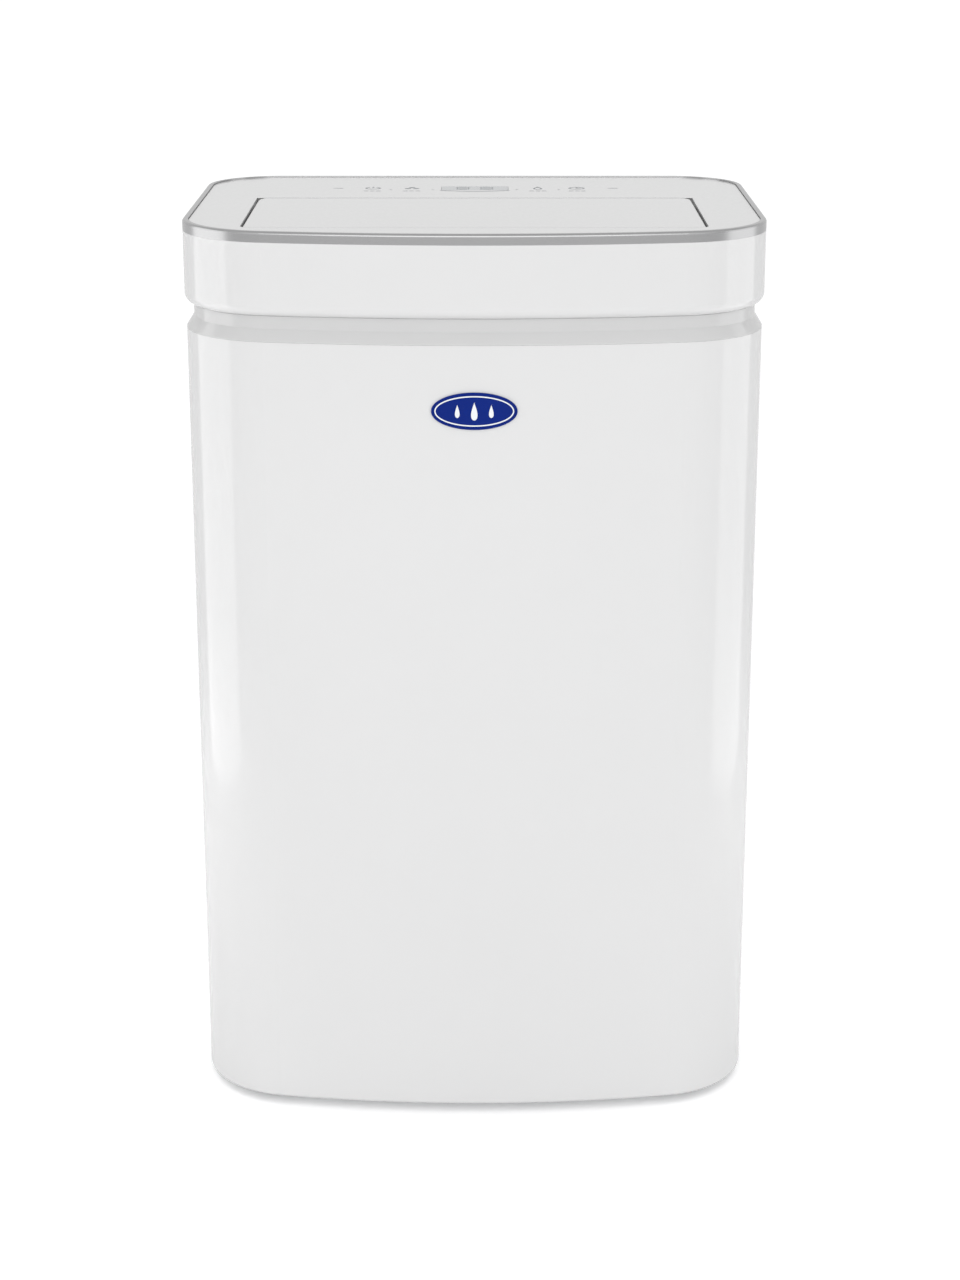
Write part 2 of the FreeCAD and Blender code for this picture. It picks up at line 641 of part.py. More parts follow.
def bucket_cover():
    plate = box(-BUCKET_HALF + 1, BUCKET_HALF - 1, COVER_FRONT, BUCKET_REAR, BUCKET_TOP, BUCKET_TOP + 2.5)
    parts = [rounded(plate, 4.0)]
    for side in (-1, 1):
        x0, x1 = sorted((FLOAT_X + side * 15.5, FLOAT_X + side * 18))
        parts.append(box(x0, x1, COVER_FRONT, FLOAT_Y + 6, FLOAT_Z - 6, BUCKET_TOP + 0.5))
    hole = rod(FLOAT_PIN_R + RUN_GAP, (FLOAT_X - 30, FLOAT_Y, FLOAT_Z), (FLOAT_X + 30, FLOAT_Y, FLOAT_Z))
    return join(parts).cut(hole)


def bucket_handle():
    arm_in = BUCKET_HALF - THIN_WALL - 3.2
    arm_out = BUCKET_HALF - THIN_WALL - FIT
    bar_y = HANDLE_Y + HANDLE_REACH
    parts = [rod(HANDLE_R, (-arm_out, bar_y, HANDLE_Z), (arm_out, bar_y, HANDLE_Z))]
    for side in (-1, 1):
        x0, x1 = sorted((side * arm_in, side * arm_out))
        arm = box(x0, x1, HANDLE_Y - HANDLE_R, bar_y + HANDLE_R, HANDLE_Z - HANDLE_R, HANDLE_Z + HANDLE_R)
        parts.append(rounded(arm, HANDLE_R - 0.1, V(1, 0, 0)))
        pin_end = side * BUCKET_HALF
        parts.append(rod(PIN_R, (side * arm_in, HANDLE_Y, HANDLE_Z), (pin_end, HANDLE_Y, HANDLE_Z)))
    return join(parts)


def bucket_float():
    block = box(FLOAT_X - 14, FLOAT_X + 14, FLOAT_Y - 62, FLOAT_Y - 10, FLOAT_Z - 18, FLOAT_Z - 4)
    block = rounded(block, 3.0)
    web = box(FLOAT_X - 14, FLOAT_X + 14, FLOAT_Y - 14, FLOAT_Y, FLOAT_Z - 6, FLOAT_Z + 2)
    barrel = rod(4.0, (FLOAT_X - 15, FLOAT_Y, FLOAT_Z), (FLOAT_X + 15, FLOAT_Y, FLOAT_Z))
    pins = rod(FLOAT_PIN_R, (FLOAT_X - 18, FLOAT_Y, FLOAT_Z), (FLOAT_X + 18, FLOAT_Y, FLOAT_Z))
    return join([block, web, barrel, pins])


# --- coils, tray, filter and intake ---
def drip_tray():
    half = FRAME_HALF - 4
    outer = box(-half, half, TRAY_FRONT, TRAY_REAR, BAY_TOP, TRAY_TOP)
    inner = box(-half + THIN_WALL, half - THIN_WALL, TRAY_FRONT + THIN_WALL, TRAY_REAR - THIN_WALL,
                BAY_TOP + WALL, TRAY_TOP + 1)
    spout = rod(8.0, (SPOUT_X, SPOUT_Y, BAY_TOP - 8), (SPOUT_X, SPOUT_Y, BAY_TOP + 1))
    tray = join([outer.cut(inner), spout])
    return cut(tray, [
        rod(6.0, (SPOUT_X, SPOUT_Y, BAY_TOP - 15), (SPOUT_X, SPOUT_Y, BAY_TOP + WALL + 1)),
        rod(SPIGOT_R + 0.2, (0, TRAY_REAR - 5, DRAIN_Z), (0, TRAY_REAR + 1, DRAIN_Z)),
    ])


def coil_frame():
    outer = box(-FRAME_HALF, FRAME_HALF, FRAME_FRONT, FRAME_REAR, TRAY_TOP, FRAME_TOP)
    inner = box(-FRAME_HALF + THIN_WALL, FRAME_HALF - THIN_WALL, FRAME_FRONT + THIN_WALL, FRAME_REAR + 1,
                TRAY_TOP + THIN_WALL, FRAME_TOP - THIN_WALL)
    drain = box(-COIL_HALF, COIL_HALF, CONDENSER_Y - 10, EVAPORATOR_Y + 10,
                TRAY_TOP - 1, TRAY_TOP + THIN_WALL + 1)
    frame = cut(outer, [inner, drain])
    front = FILTER_FRONT - FIT
    rear = FILTER_FRONT + FILTER_THICK + FIT
    rails = []
    for z0, z1 in ((TRAY_TOP, FILTER_BOTTOM - FIT), (FILTER_TOP + FIT, FRAME_TOP)):
        rails.append(box(-FRAME_HALF, FRAME_HALF, FRAME_REAR, rear + 2.2, z0, z1))
    for z0, z1 in ((TRAY_TOP, FILTER_BOTTOM + RAIL_GRIP), (FILTER_TOP - RAIL_GRIP, FRAME_TOP)):
        rails.append(box(-FRAME_HALF, FRAME_HALF, FRAME_REAR, front, z0, z1))
        rails.append(box(-FRAME_HALF, FRAME_HALF, rear, rear + 2.2, z0, z1))
    mouth = join([
        rod(INLET_R + 3, (0, FAN_REAR - 2, FAN_Z), (0, FRAME_FRONT + THIN_WALL, FAN_Z)),
        rod(INLET_R + 12, (0, SCROLL_REAR, FAN_Z), (0, FRAME_FRONT + THIN_WALL, FAN_Z)),
    ])
    bosses = screw_bosses(FRAME_SCREW_Z, FILTER_FRONT + FILTER_THICK + FIT)
    ports = [rod(8.0, (-FRAME_HALF - 1, y, z), (-FRAME_HALF + 5, y, z)) for y, z in coil_ports()]
    bore = rod(INLET_R, (0, 0, FAN_Z), (0, FRAME_FRONT + 5, FAN_Z))
    return cut(join([frame, mouth] + rails + bosses), ports + [bore] + screw_holes(FRAME_SCREW_Z))


def coil_rows():
    return [COIL_Z + (n - (COIL_ROWS - 1) / 2) * COIL_PITCH for n in range(COIL_ROWS)]


def coil_ports():
    rows = coil_rows()
    return [(y, z) for y in (EVAPORATOR_Y, CONDENSER_Y) for z in (rows[0], rows[-1])]


def coil_fins(y):
    half = COIL_DEPTH / 2
    tall = COIL_PITCH * COIL_ROWS / 2
    blank = Part.makePlane(2 * tall, COIL_DEPTH, V(0, y - half, COIL_Z - tall), V(1, 0, 0), V(0, 0, 1))
    centre = blank.BoundBox.Center
    blank.translate(V(0, y - centre.y, COIL_Z - centre.z))
    holes = [Part.Face(Part.Wire(Part.makeCircle(TUBE_R + FIT, V(0, y, z), V(1, 0, 0)))) for z in coil_rows()]
    plate = cut(blank, holes)
    step = 2 * COIL_HALF / (FIN_COUNT - 1)
    fins = []
    for n in range(FIN_COUNT):
        thick = 2.0 if n in (0, FIN_COUNT - 1) else FIN_T
        fin = plate.extrude(V(thick, 0, 0))
        fin.translate(V(-COIL_HALF + n * step - thick / 2, 0, 0))
        fins.append(fin)
    return Part.makeCompound(fins)


def coil_tubes(y):
    """One tube that runs to and fro through the fins, with a round bend at each end."""
    rows = coil_rows()
    reach = COIL_HALF + 3
    edges = [Part.LineSegment(V(-FRAME_HALF - 6, y, rows[0]), V(reach, y, rows[0])).toShape()]
    side = 1
    for low, high in zip(rows, rows[1:]):
        middle = V(side * (reach + COIL_PITCH / 2), y, (low + high) / 2)
        edges.append(Part.Arc(V(side * reach, y, low), middle, V(side * reach, y, high)).toShape())
        end = -side * reach if high != rows[-1] else -FRAME_HALF - 6
        edges.append(Part.LineSegment(V(side * reach, y, high), V(end, y, high)).toShape())
        side = -side
    path = Part.Wire(edges)
    plugs = FRAME_HALF + 4  # the brazed ends stay solid
    bore = pipe(path, TUBE_R - TUBE_WALL).common(box(-plugs, plugs, 0, DEPTH, 0, HEIGHT))
    return pipe(path, TUBE_R).cut(bore)


def filter_block(z0, z1):
    """Room that the filter takes in the casing, cut off by the casing's own outer surface."""
    block = box(-FRAME_HALF, WIDTH, FILTER_FRONT, FILTER_FRONT + FILTER_THICK, z0, z1)
    return block.common(slab(BODY_INSET, z0 - 1, z1 + 1))


def filter_frame():
    edge = FILTER_EDGE
    window = box(-FRAME_HALF + edge, FRAME_HALF - edge, 0, DEPTH, FILTER_BOTTOM + edge, FILTER_TOP - edge)
    frame = filter_block(FILTER_BOTTOM, FILTER_TOP).cut(window)
    ribs = []
    y0 = FILTER_FRONT + FILTER_THICK - 2
    for n in range(1, 5):
        x = -FRAME_HALF + n * 2 * FRAME_HALF / 5
        ribs.append(box(x - 1, x + 1, y0, y0 + 2, FILTER_BOTTOM + edge - 1, FILTER_TOP - edge + 1))
    for n in range(1, 4):
        z = FILTER_BOTTOM + n * (FILTER_TOP - FILTER_BOTTOM) / 4
        ribs.append(box(-FRAME_HALF + edge - 1, FRAME_HALF - edge + 1, y0, y0 + 2, z - 1, z + 1))
    return join([frame] + ribs)


def filter_mesh():
    edge = FILTER_EDGE
    return box(-FRAME_HALF + edge + 0.1, FRAME_HALF - edge - 0.1, FILTER_FRONT + 1.4, FILTER_FRONT + 2.6,
               FILTER_BOTTOM + edge + 0.1, FILTER_TOP - edge - 0.1)


def intake_grille():
    half = GRILLE_HALF - FIT
    z0 = GRILLE_BOTTOM + FIT
    z1 = GRILLE_TOP - FIT
    front = REAR_FACE - 7.2
    outer = box(-half, half, front, REAR_FACE, z0, z1)
    flange = box(-half - 4, half + 4, front, REAR_INNER - 0.2, z0 - 4, z1 + 4)
    inner = box(-half + 4, half - 4, 0, DEPTH, z0 + 4, z1 - 4)
    parts = [join([outer, flange]).cut(inner)]
    pitch = (z1 - z0 - 8) / GRILLE_SLATS
    for n in range(GRILLE_SLATS):
        z = z0 + 4 + (n + 0.5) * pitch
        slat = box(-half + 3, half - 3, -3.4, 3.4, -SLAT_T / 2, SLAT_T / 2)
        slat.rotate(V(0, 0, 0), V(1, 0, 0), -32)
        slat.translate(V(0, REAR_FACE - 3.8, z))
        parts.append(slat)
    for x in (-half / 2, 0, half / 2):
        parts.append(box(x - 1.2, x + 1.2, front, REAR_FACE - 1.2, z0 + 3, z1 - 3))
    return join(parts)


# --- blower ---
def scroll_solid(inset, y0, y1):
    drum = rod(SCROLL_R - inset, (0, y0, FAN_Z), (0, y1, FAN_Z))
    throat = box(THROAT_LEFT + inset, SCROLL_R - inset, y0, y1, FAN_Z, SCROLL_TOP)
    return join([drum, throat])


def motor_lugs(radius, y0, y1):
    """Three round columns about the motor, between y0 and y1."""
    lugs = []
    for n in range(3):
        angle = math.radians(90 + 120 * n)
        x = LUG_CIRCLE * math.cos(angle)
        z = FAN_Z + LUG_CIRCLE * math.sin(angle)
        lugs.append(rod(radius, (x, y0, z), (x, y1, z)))
    return lugs


def blower_scroll():
    outer = join([scroll_solid(0, SCROLL_FRONT, SCROLL_REAR)] + motor_lugs(4.0, MOTOR_REAR, SCROLL_FRONT + 1))
    inner = scroll_solid(THIN_WALL, SCROLL_FRONT + THIN_WALL, SCROLL_REAR - THIN_WALL)
    return cut(outer, [
        inner,
        box(THROAT_LEFT + THIN_WALL, SCROLL_R - THIN_WALL, SCROLL_FRONT + THIN_WALL, SCROLL_REAR - THIN_WALL,
            SCROLL_TOP - 5, SCROLL_TOP + 1),
        rod(INLET_R + 4, (0, SCROLL_REAR - 5, FAN_Z), (0, SCROLL_REAR + 1, FAN_Z)),
        rod(SHAFT_R + 8, (0, SCROLL_FRONT - 1, FAN_Z), (0, SCROLL_FRONT + 5, FAN_Z)),
    ])


def fan_wheel():
    disc = rod(FAN_R, (0, FAN_FRONT, FAN_Z), (0, FAN_FRONT + 2.5, FAN_Z))
    hub = rod(12.0, (0, FAN_FRONT, FAN_Z), (0, FAN_FRONT + 24, FAN_Z))
    hoop_out = rod(FAN_R, (0, FAN_REAR - 3, FAN_Z), (0, FAN_REAR, FAN_Z))
    hoop_in = rod(FAN_R - 9, (0, FAN_REAR - 4, FAN_Z), (0, FAN_REAR + 1, FAN_Z))
    parts = [disc, hub, hoop_out.cut(hoop_in)]
    for n in range(FAN_BLADES):
        blade = box(FAN_R - 9.5, FAN_R - 1, FAN_FRONT + 1, FAN_REAR - 1, -0.7, 0.7)
        blade.rotate(V(FAN_R - 5, 0, 0), V(0, 1, 0), 28)
        blade.rotate(V(0, 0, 0), V(0, 1, 0), n * 360.0 / FAN_BLADES)
        blade.translate(V(0, 0, FAN_Z))
        parts.append(blade)
    return join(parts).cut(rod(SHAFT_R, (0, -DEPTH, FAN_Z), (0, DEPTH, FAN_Z)))


def fan_shaft():
    return rod(SHAFT_R, (0, MOTOR_FRONT + 6, FAN_Z), (0, FAN_FRONT + 26, FAN_Z))


def fan_motor():
    body = rod(MOTOR_R, (0, MOTOR_FRONT, FAN_Z), (0, MOTOR_REAR, FAN_Z))
    body = body.makeFillet(6.0, [e for e in body.Edges if not is_along(e, V(0, 1, 0))])
    boss = rod(10.0, (0, MOTOR_REAR - 1, FAN_Z), (0, MOTOR_REAR + 4, FAN_Z))
    flange = rod(MOTOR_R + 1, (0, MOTOR_REAR - 9, FAN_Z), (0, MOTOR_REAR - 6.5, FAN_Z))
    lugs = motor_lugs(6.5, MOTOR_REAR - 9, MOTOR_REAR)
    bore = rod(SHAFT_R + RUN_GAP, (0, MOTOR_FRONT + 5, FAN_Z), (0, 0, FAN_Z))
    return join([body, boss, flange] + lugs).cut(bore)


# --- refrigerant circuit ---
def compressor_feet():
    angles = [math.radians(a) for a in (30, 150, 270)]
    return [(COMP_X + FOOT_CIRCLE * math.cos(a), COMP_Y + FOOT_CIRCLE * math.sin(a)) for a in angles]


def compressor_shell():
    solid = rod(COMP_R, (COMP_X, COMP_Y, COMP_BOTTOM), (COMP_X, COMP_Y, COMP_TOP))
    solid = soften(soften(solid, 24.0, COMP_TOP), 14.0, COMP_BOTTOM)
    hollow = rod(COMP_R - COMP_WALL, (COMP_X, COMP_Y, COMP_BOTTOM + 10), (COMP_X, COMP_Y, COMP_TOP - 12))
    hollow = soften(soften(hollow, 20.0, COMP_TOP - 12), 12.0, COMP_BOTTOM + 10)
    seam = rod(COMP_R + 1.5, (COMP_X, COMP_Y, COMP_TOP - 40), (COMP_X, COMP_Y, COMP_TOP - 36))
    plate = rod(FOOT_CIRCLE - 6, (COMP_X, COMP_Y, GROMMET_TOP), (COMP_X, COMP_Y, GROMMET_TOP + 3))
    skirt = rod(COMP_R - 16, (COMP_X, COMP_Y, GROMMET_TOP), (COMP_X, COMP_Y, COMP_BOTTOM + 2))
    feet = []
    for x, y in compressor_feet():
        feet.append(rod(11.0, (x, y, GROMMET_TOP), (x, y, GROMMET_TOP + 3)))
    holes = [rod(STUD_R + STUD_GAP, (x, y, 0), (x, y, COMP_BOTTOM)) for x, y in compressor_feet()]
    return cut(join([solid, seam, plate, skirt] + feet), [hollow] + holes)


def compressor_core():
    """Motor and pump in one block, hung inside the sealed shell."""
    low, high = COMP_BOTTOM + 24, COMP_BOTTOM + 152
    inner = COMP_R - COMP_WALL - FIT
    stator = rod(inner, (COMP_X, COMP_Y, high - STATOR_HEIGHT), (COMP_X, COMP_Y, high))
    pump = rod(inner, (COMP_X, COMP_Y, low), (COMP_X, COMP_Y, low + PUMP_HEIGHT))
    shaft = rod(9.0, (COMP_X, COMP_Y, low - 6), (COMP_X, COMP_Y, high + 8))
    return join([stator, pump, shaft])


def compressor_grommets():
    rubber = []
    for x, y in compressor_feet():
        tall = rod(9.0, (x, y, GROMMET_BOTTOM), (x, y, GROMMET_TOP))
        rubber.append(tall.cut(rod(STUD_R + STUD_GAP, (x, y, 0), (x, y, HEIGHT))))
    return Part.makeCompound(rubber)


def terminal_cover():
    cover = box(COMP_X - 6, COMP_X + 26, COMP_Y - 17, COMP_Y + 17, COMP_TOP, COMP_TOP + 16)
    return rounded(cover, 6.0)


def accumulator():
    can = rod(ACC_R, (ACC_X, COMP_Y, ACC_BOTTOM), (ACC_X, COMP_Y, ACC_TOP))
    can = soften(soften(can, 12.0, ACC_TOP), 12.0, ACC_BOTTOM)
    strap = box(ACC_X + ACC_R - 4, COMP_X - COMP_R + 3, COMP_Y - 8, COMP_Y + 8, 138, 150)
    strap = strap.cut(rod(COMP_R + 0.1, (COMP_X, COMP_Y, 0), (COMP_X, COMP_Y, HEIGHT)))
    outlet = pipe(bent_path([(ACC_X, COMP_Y, ACC_BOTTOM + 6), (ACC_X, COMP_Y, ACC_BOTTOM - 14),
                             (COMP_X - COMP_R + 0.4, COMP_Y, ACC_BOTTOM - 14)], 10.0), 5.0)
    outlet = outlet.cut(rod(COMP_R + 0.1, (COMP_X, COMP_Y, 0), (COMP_X, COMP_Y, HEIGHT)))
    return join([can, strap, outlet])


def suction_line():
    """From the evaporator's lower port to the top of the accumulator."""
    y, z = EVAPORATOR_Y, coil_rows()[0]
    x = -FRAME_HALF - 28
    low = ACC_TOP + 50
    return pipe(bent_path([(-FRAME_HALF - 6.2, y, z), (x, y, z), (x, y, low), (x, COMP_Y + 46, low),
                           (ACC_X, COMP_Y, low), (ACC_X, COMP_Y, ACC_TOP + 0.2)], 9.0), TUBE_R)


def discharge_line():
    """From the top of the compressor to the condenser's upper port."""
    y, z = CONDENSER_Y, coil_rows()[-1]
    start = COMP_X - 22
    x = -FRAME_HALF - 24
    low = COMP_TOP + 30
    return pipe(bent_path([(start, COMP_Y, COMP_TOP + 0.2), (start, COMP_Y, low), (start, COMP_Y - 44, low),
                           (x, COMP_Y + 6, low), (x, y - 22, low), (x, y - 22, z), (x, y, z),
                           (-FRAME_HALF - 6.2, y, z)], 9.0), 3.2)


def filter_drier():
    """Copper drier between the condenser's lower port and the capillary."""
    y, z = CONDENSER_Y, coil_rows()[0]
    x = -FRAME_HALF - 15
    path = [(-FRAME_HALF - 6.2, y, z), (x, y, z), (x, DRIER_Y, z), (x, DRIER_Y, z + 50)]
    can = rod(9.0, (x, DRIER_Y, z + 44), (x, DRIER_Y, DRIER_TOP))
    return join([pipe(bent_path(path, 8.0), 3.0), soften(can, 5.0, DRIER_TOP)])


def capillary_tube():
    """Fine tube from the drier to the evaporator's upper port, with two open bends."""
    y, z = EVAPORATOR_Y, coil_rows()[-1]
    x = -FRAME_HALF - 15
    low = DRIER_TOP + 0.2
    return pipe(bent_path([(x, DRIER_Y, low), (x, DRIER_Y, low + 20), (x, DRIER_Y - 24, low + 36),
                           (x, DRIER_Y - 24, z - 20), (x, DRIER_Y + 4, z + 14), (x, y, z + 14), (x, y, z),
                           (-FRAME_HALF - 6.2, y, z)], 6.0), 1.6)


# --- electrics ---
def power_block(inset, z0, z1):
    """Upright block with the plan of the power box, drawn in by inset."""
    block = box(POWER_X - POWER_HALF_X + inset, POWER_X + POWER_HALF_X - inset,
                POWER_Y - POWER_HALF_Y + inset, POWER_Y + POWER_HALF_Y - inset, z0, z1)
    return rounded(block, 5.0 - min(inset, THIN_WALL))


def power_box():
    inner = power_block(THIN_WALL, POST_TOP + THIN_WALL, POWER_TOP + 1)
    return power_block(0, POST_TOP, POWER_TOP).cut(inner)


def power_box_lid():
    return power_block(0, POWER_TOP, POWER_TOP + WALL)


def power_board():
    board = power_block(6.0, POWER_BOARD_Z - BOARD_T, POWER_BOARD_Z)
    legs = []
    for x in (POWER_X - POWER_HALF_X + 12, POWER_X + POWER_HALF_X - 12):
        for y in (POWER_Y - POWER_HALF_Y + 12, POWER_Y + POWER_HALF_Y - 12):
            legs.append(rod(2.5, (x, y, POST_TOP + THIN_WALL), (x, y, POWER_BOARD_Z - BOARD_T)))
    right = POWER_X + POWER_HALF_X - 10
    relay = box(right - 16, right, POWER_Y + 1, POWER_Y + 25, POWER_BOARD_Z, POWER_BOARD_Z + 16)
    choke = box(right - 18, right, POWER_Y - 27, POWER_Y - 9, POWER_BOARD_Z, POWER_BOARD_Z + 20)
    return Part.makeCompound([join([board] + legs), relay, choke])


def run_capacitor():
    x = POWER_X - 11
    can = rod(17.0, (x, POWER_Y, POWER_BOARD_Z), (x, POWER_Y, POWER_TOP - 18))
    return soften(can, 2.0, POWER_TOP - 18)


def humidity_sensor():
    shell = box(-FRAME_HALF - 7, -FRAME_HALF, 92, 106, 440, 462)
    return rounded(shell, 2.0, V(0, 0, 1))


def float_switch():
    """Magnetic switch on the bay's side wall, level with the magnet in the float."""
    wall = OPENING_HALF + THIN_WALL
    case = box(wall, wall + 8, FLOAT_Y - 50, FLOAT_Y - 24, FLOAT_Z - 12, FLOAT_Z + 6)
    return rounded(case, 2.0, V(1, 0, 0))


# --- rear services ---
def drain_outlet():
    back = REAR_INNER - 17
    flange = rod(22.0, (0, REAR_INNER - 3, DRAIN_Z), (0, REAR_INNER, DRAIN_Z))
    cup = rod(CUP_R + 2, (0, back, DRAIN_Z), (0, REAR_INNER, DRAIN_Z))
    hollow = rod(CUP_R, (0, back + THIN_WALL, DRAIN_Z), (0, REAR_INNER + 1, DRAIN_Z))
    spigot_start = back + THIN_WALL - 1
    spigot = rod(SPIGOT_R, (0, spigot_start, DRAIN_Z), (0, back + THIN_WALL + SPIGOT_LENGTH - 0.5, DRAIN_Z))
    nipple = rod(SPIGOT_R, (0, TRAY_REAR - 4, DRAIN_Z), (0, back + 1, DRAIN_Z))
    bore = rod(SPIGOT_R - 2, (0, 0, DRAIN_Z), (0, DEPTH, DRAIN_Z))
    shape = join([join([flange, cup]).cut(hollow), spigot, nipple]).cut(bore)
    return shape.cut(drain_hinge_rod(2.6, 8.6))


def drain_cover():
    z = DRAIN_Z + DRAIN_DOOR_R + DRAIN_PIVOT_UP
    disc = rod(DRAIN_DOOR_R, (0, REAR_INNER + 0.3, DRAIN_Z), (0, REAR_FACE, DRAIN_Z))
    tab = box(-6, 6, REAR_INNER + 0.4, REAR_FACE - 0.2, z - 4, z + 1.2)
    pin = drain_hinge_rod(1.2, 8.2)
    notch = rod(5.0, (0, REAR_FACE - 1.2, DRAIN_Z - DRAIN_DOOR_R), (0, REAR_FACE + 1, DRAIN_Z - DRAIN_DOOR_R))
    return join([disc, tab, pin]).cut(notch)


def cord_gland():
    body = rod(GLAND_R, (GLAND_X, REAR_INNER - 8, GLAND_Z), (GLAND_X, REAR_FACE, GLAND_Z))
    flange = rod(GLAND_R + 2.5, (GLAND_X, REAR_FACE, GLAND_Z), (GLAND_X, DEPTH / 2, GLAND_Z))
    return join([body, flange]).cut(rod(GLAND_BORE_R, (GLAND_X, 0, GLAND_Z), (GLAND_X, DEPTH, GLAND_Z)))


def casing_screws():
    screws = []
    for x, z in SCREWS:
        head = rod(SCREW_HEAD_R, (x, REAR_FACE - 2.6, z), (x, REAR_FACE - 0.4, z))
        cross = [box(x - 2.2, x + 2.2, REAR_FACE - 1.6, REAR_FACE, z - 0.45, z + 0.45),
                 box(x - 0.45, x + 0.45, REAR_FACE - 1.6, REAR_FACE, z - 2.2, z + 2.2)]
        shank = rod(SCREW_R, (x, REAR_INNER - SCREW_REACH, z), (x, REAR_FACE - 2, z))
        screws.append(cut(join([head, shank]), cross))
    return Part.makeCompound(screws)


def all_parts():
    makers = [
        front_cover, rear_cover, top_band, grip_channel, trim_ring, top_deck, display_window, badge,
        outlet_flap, flap_motor, outlet_guard, outlet_duct, control_board,
        base_pan, bucket_bay, water_bucket, bucket_front, bucket_cover, bucket_handle, bucket_float,
        drip_tray, coil_frame, filter_frame, filter_mesh, intake_grille,
        blower_scroll, fan_wheel, fan_shaft, fan_motor,
        compressor_shell, compressor_core, compressor_grommets, terminal_cover, accumulator,
        suction_line, discharge_line, filter_drier, capillary_tube,
        power_box, power_box_lid, power_board, run_capacitor, humidity_sensor, float_switch,
        drain_outlet, drain_cover, cord_gland, casing_screws,
    ]
    parts = {maker.__name__: maker() for maker in makers}
    for name, y in (("evaporator", EVAPORATOR_Y), ("condenser", CONDENSER_Y)):
        parts[name + "_fins"] = coil_fins(y)
        parts[name + "_tubes"] = coil_tubes(y)
    for corner, (x, y) in CASTERS.items():
        parts["caster_fork_" + corner] = caster_fork(x, y)
        parts["caster_wheel_" + corner] = caster_wheel(x, y)
    return parts


os.makedirs("parts", exist_ok=True)
for name, shape in all_parts().items():
    if not shape.isValid():
        print("not valid:", name)
    shape.exportStep("parts/" + name + ".step")
    print(name, len(shape.Solids), round(shape.Volume / 1000, 1))
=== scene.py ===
import math

import bmesh
import bpy
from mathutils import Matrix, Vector


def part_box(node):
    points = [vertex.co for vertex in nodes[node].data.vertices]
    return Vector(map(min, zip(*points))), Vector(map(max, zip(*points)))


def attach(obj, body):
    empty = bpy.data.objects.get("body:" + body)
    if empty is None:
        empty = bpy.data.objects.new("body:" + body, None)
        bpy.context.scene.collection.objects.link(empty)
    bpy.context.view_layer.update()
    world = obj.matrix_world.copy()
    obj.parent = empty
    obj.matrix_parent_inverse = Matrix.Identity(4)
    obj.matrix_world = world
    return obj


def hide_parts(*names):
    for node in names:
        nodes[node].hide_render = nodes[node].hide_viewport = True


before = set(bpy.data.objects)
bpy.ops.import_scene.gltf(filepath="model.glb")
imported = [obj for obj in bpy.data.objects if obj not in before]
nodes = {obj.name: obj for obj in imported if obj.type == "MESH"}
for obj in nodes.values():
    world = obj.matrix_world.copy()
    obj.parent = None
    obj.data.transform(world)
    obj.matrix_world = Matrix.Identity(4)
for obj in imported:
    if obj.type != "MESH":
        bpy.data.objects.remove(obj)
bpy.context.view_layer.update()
mm = 0.001
print("stage: frame loaded,", len(nodes), "CAD nodes")


# colour and node helpers

def linear(hexColour):  # sRGB hex to linear RGBA
    parts = [int(hexColour[i:i + 2], 16) / 255 for i in (1, 3, 5)]
    return tuple(c / 12.92 if c <= 0.04045 else ((c + 0.055) / 1.055) ** 2.4 for c in parts) + (1.0,)


def addNode(tree, kind, settings=None, links=None):  # one node, its settings and what feeds it
    node = tree.nodes.new(kind)
    for key, value in (settings or {}).items():
        if isinstance(key, int) or key in node.inputs:
            node.inputs[key].default_value = value
        else:
            setattr(node, key, value)
    for key, source in (links or {}).items():
        tree.links.new(source, node.inputs[key])
    return node


def startMaterial(name):
    material = bpy.data.materials.new(name)
    material.use_nodes = True
    tree = material.node_tree
    tree.nodes.clear()
    place = addNode(tree, "ShaderNodeTexCoord").outputs["Object"]
    return material, tree, place


def endMaterial(material, tree, shader):
    output = addNode(tree, "ShaderNodeOutputMaterial")
    tree.links.new(shader.outputs[0], output.inputs["Surface"])
    return material


def perMetre(sizeMm):  # texture scale that gives features of that size
    return 1.0 / (sizeMm * mm)


# Moulded plastic: two close shades that drift over the part, a fine skin that breaks up the gloss,
# and a small rounding of every edge, as a mould tool leaves it.
def mouldedPlastic(look):
    material, tree, place = startMaterial(look["name"])
    drift = addNode(tree, "ShaderNodeTexNoise", {"Scale": perMetre(look["driftMm"]), "Detail": 3.0},
                    {"Vector": place})
    grain = addNode(tree, "ShaderNodeTexNoise", {"Scale": perMetre(look["grainMm"]), "Detail": 2.0},
                    {"Vector": place})
    colour = addNode(tree, "ShaderNodeMix",
                     {"data_type": "RGBA", 6: linear(look["colour"]), 7: linear(look["shade"])},
                     {0: drift.outputs["Fac"]})
    low, high = look["roughness"]
    rough = addNode(tree, "ShaderNodeMapRange",
                    {"From Min": 0.35, "From Max": 0.65, "To Min": low, "To Max": high},
                    {"Value": grain.outputs["Fac"]})
    edge = addNode(tree, "ShaderNodeBevel", {"samples": 4, "Radius": look["edgeMm"] * mm})
    bump = addNode(tree, "ShaderNodeBump", {"Strength": 0.6, "Distance": look["grainDepthMm"] * mm},
                   {"Height": grain.outputs["Fac"], "Normal": edge.outputs[0]})
    shader = addNode(tree, "ShaderNodeBsdfPrincipled",
                     {"IOR": look["ior"], "Coat Weight": look.get("coat", 0.0), "Coat Roughness": 0.04,
                      "Specular IOR Level": look.get("specular", 0.5),
                      "Subsurface Weight": look.get("milky", 0.0), "Subsurface Scale": 2 * mm},
                     {"Base Color": colour.outputs[2], "Roughness": rough.outputs[0],
                      "Normal": bump.outputs[0]})
    return endMaterial(material, tree, shader)


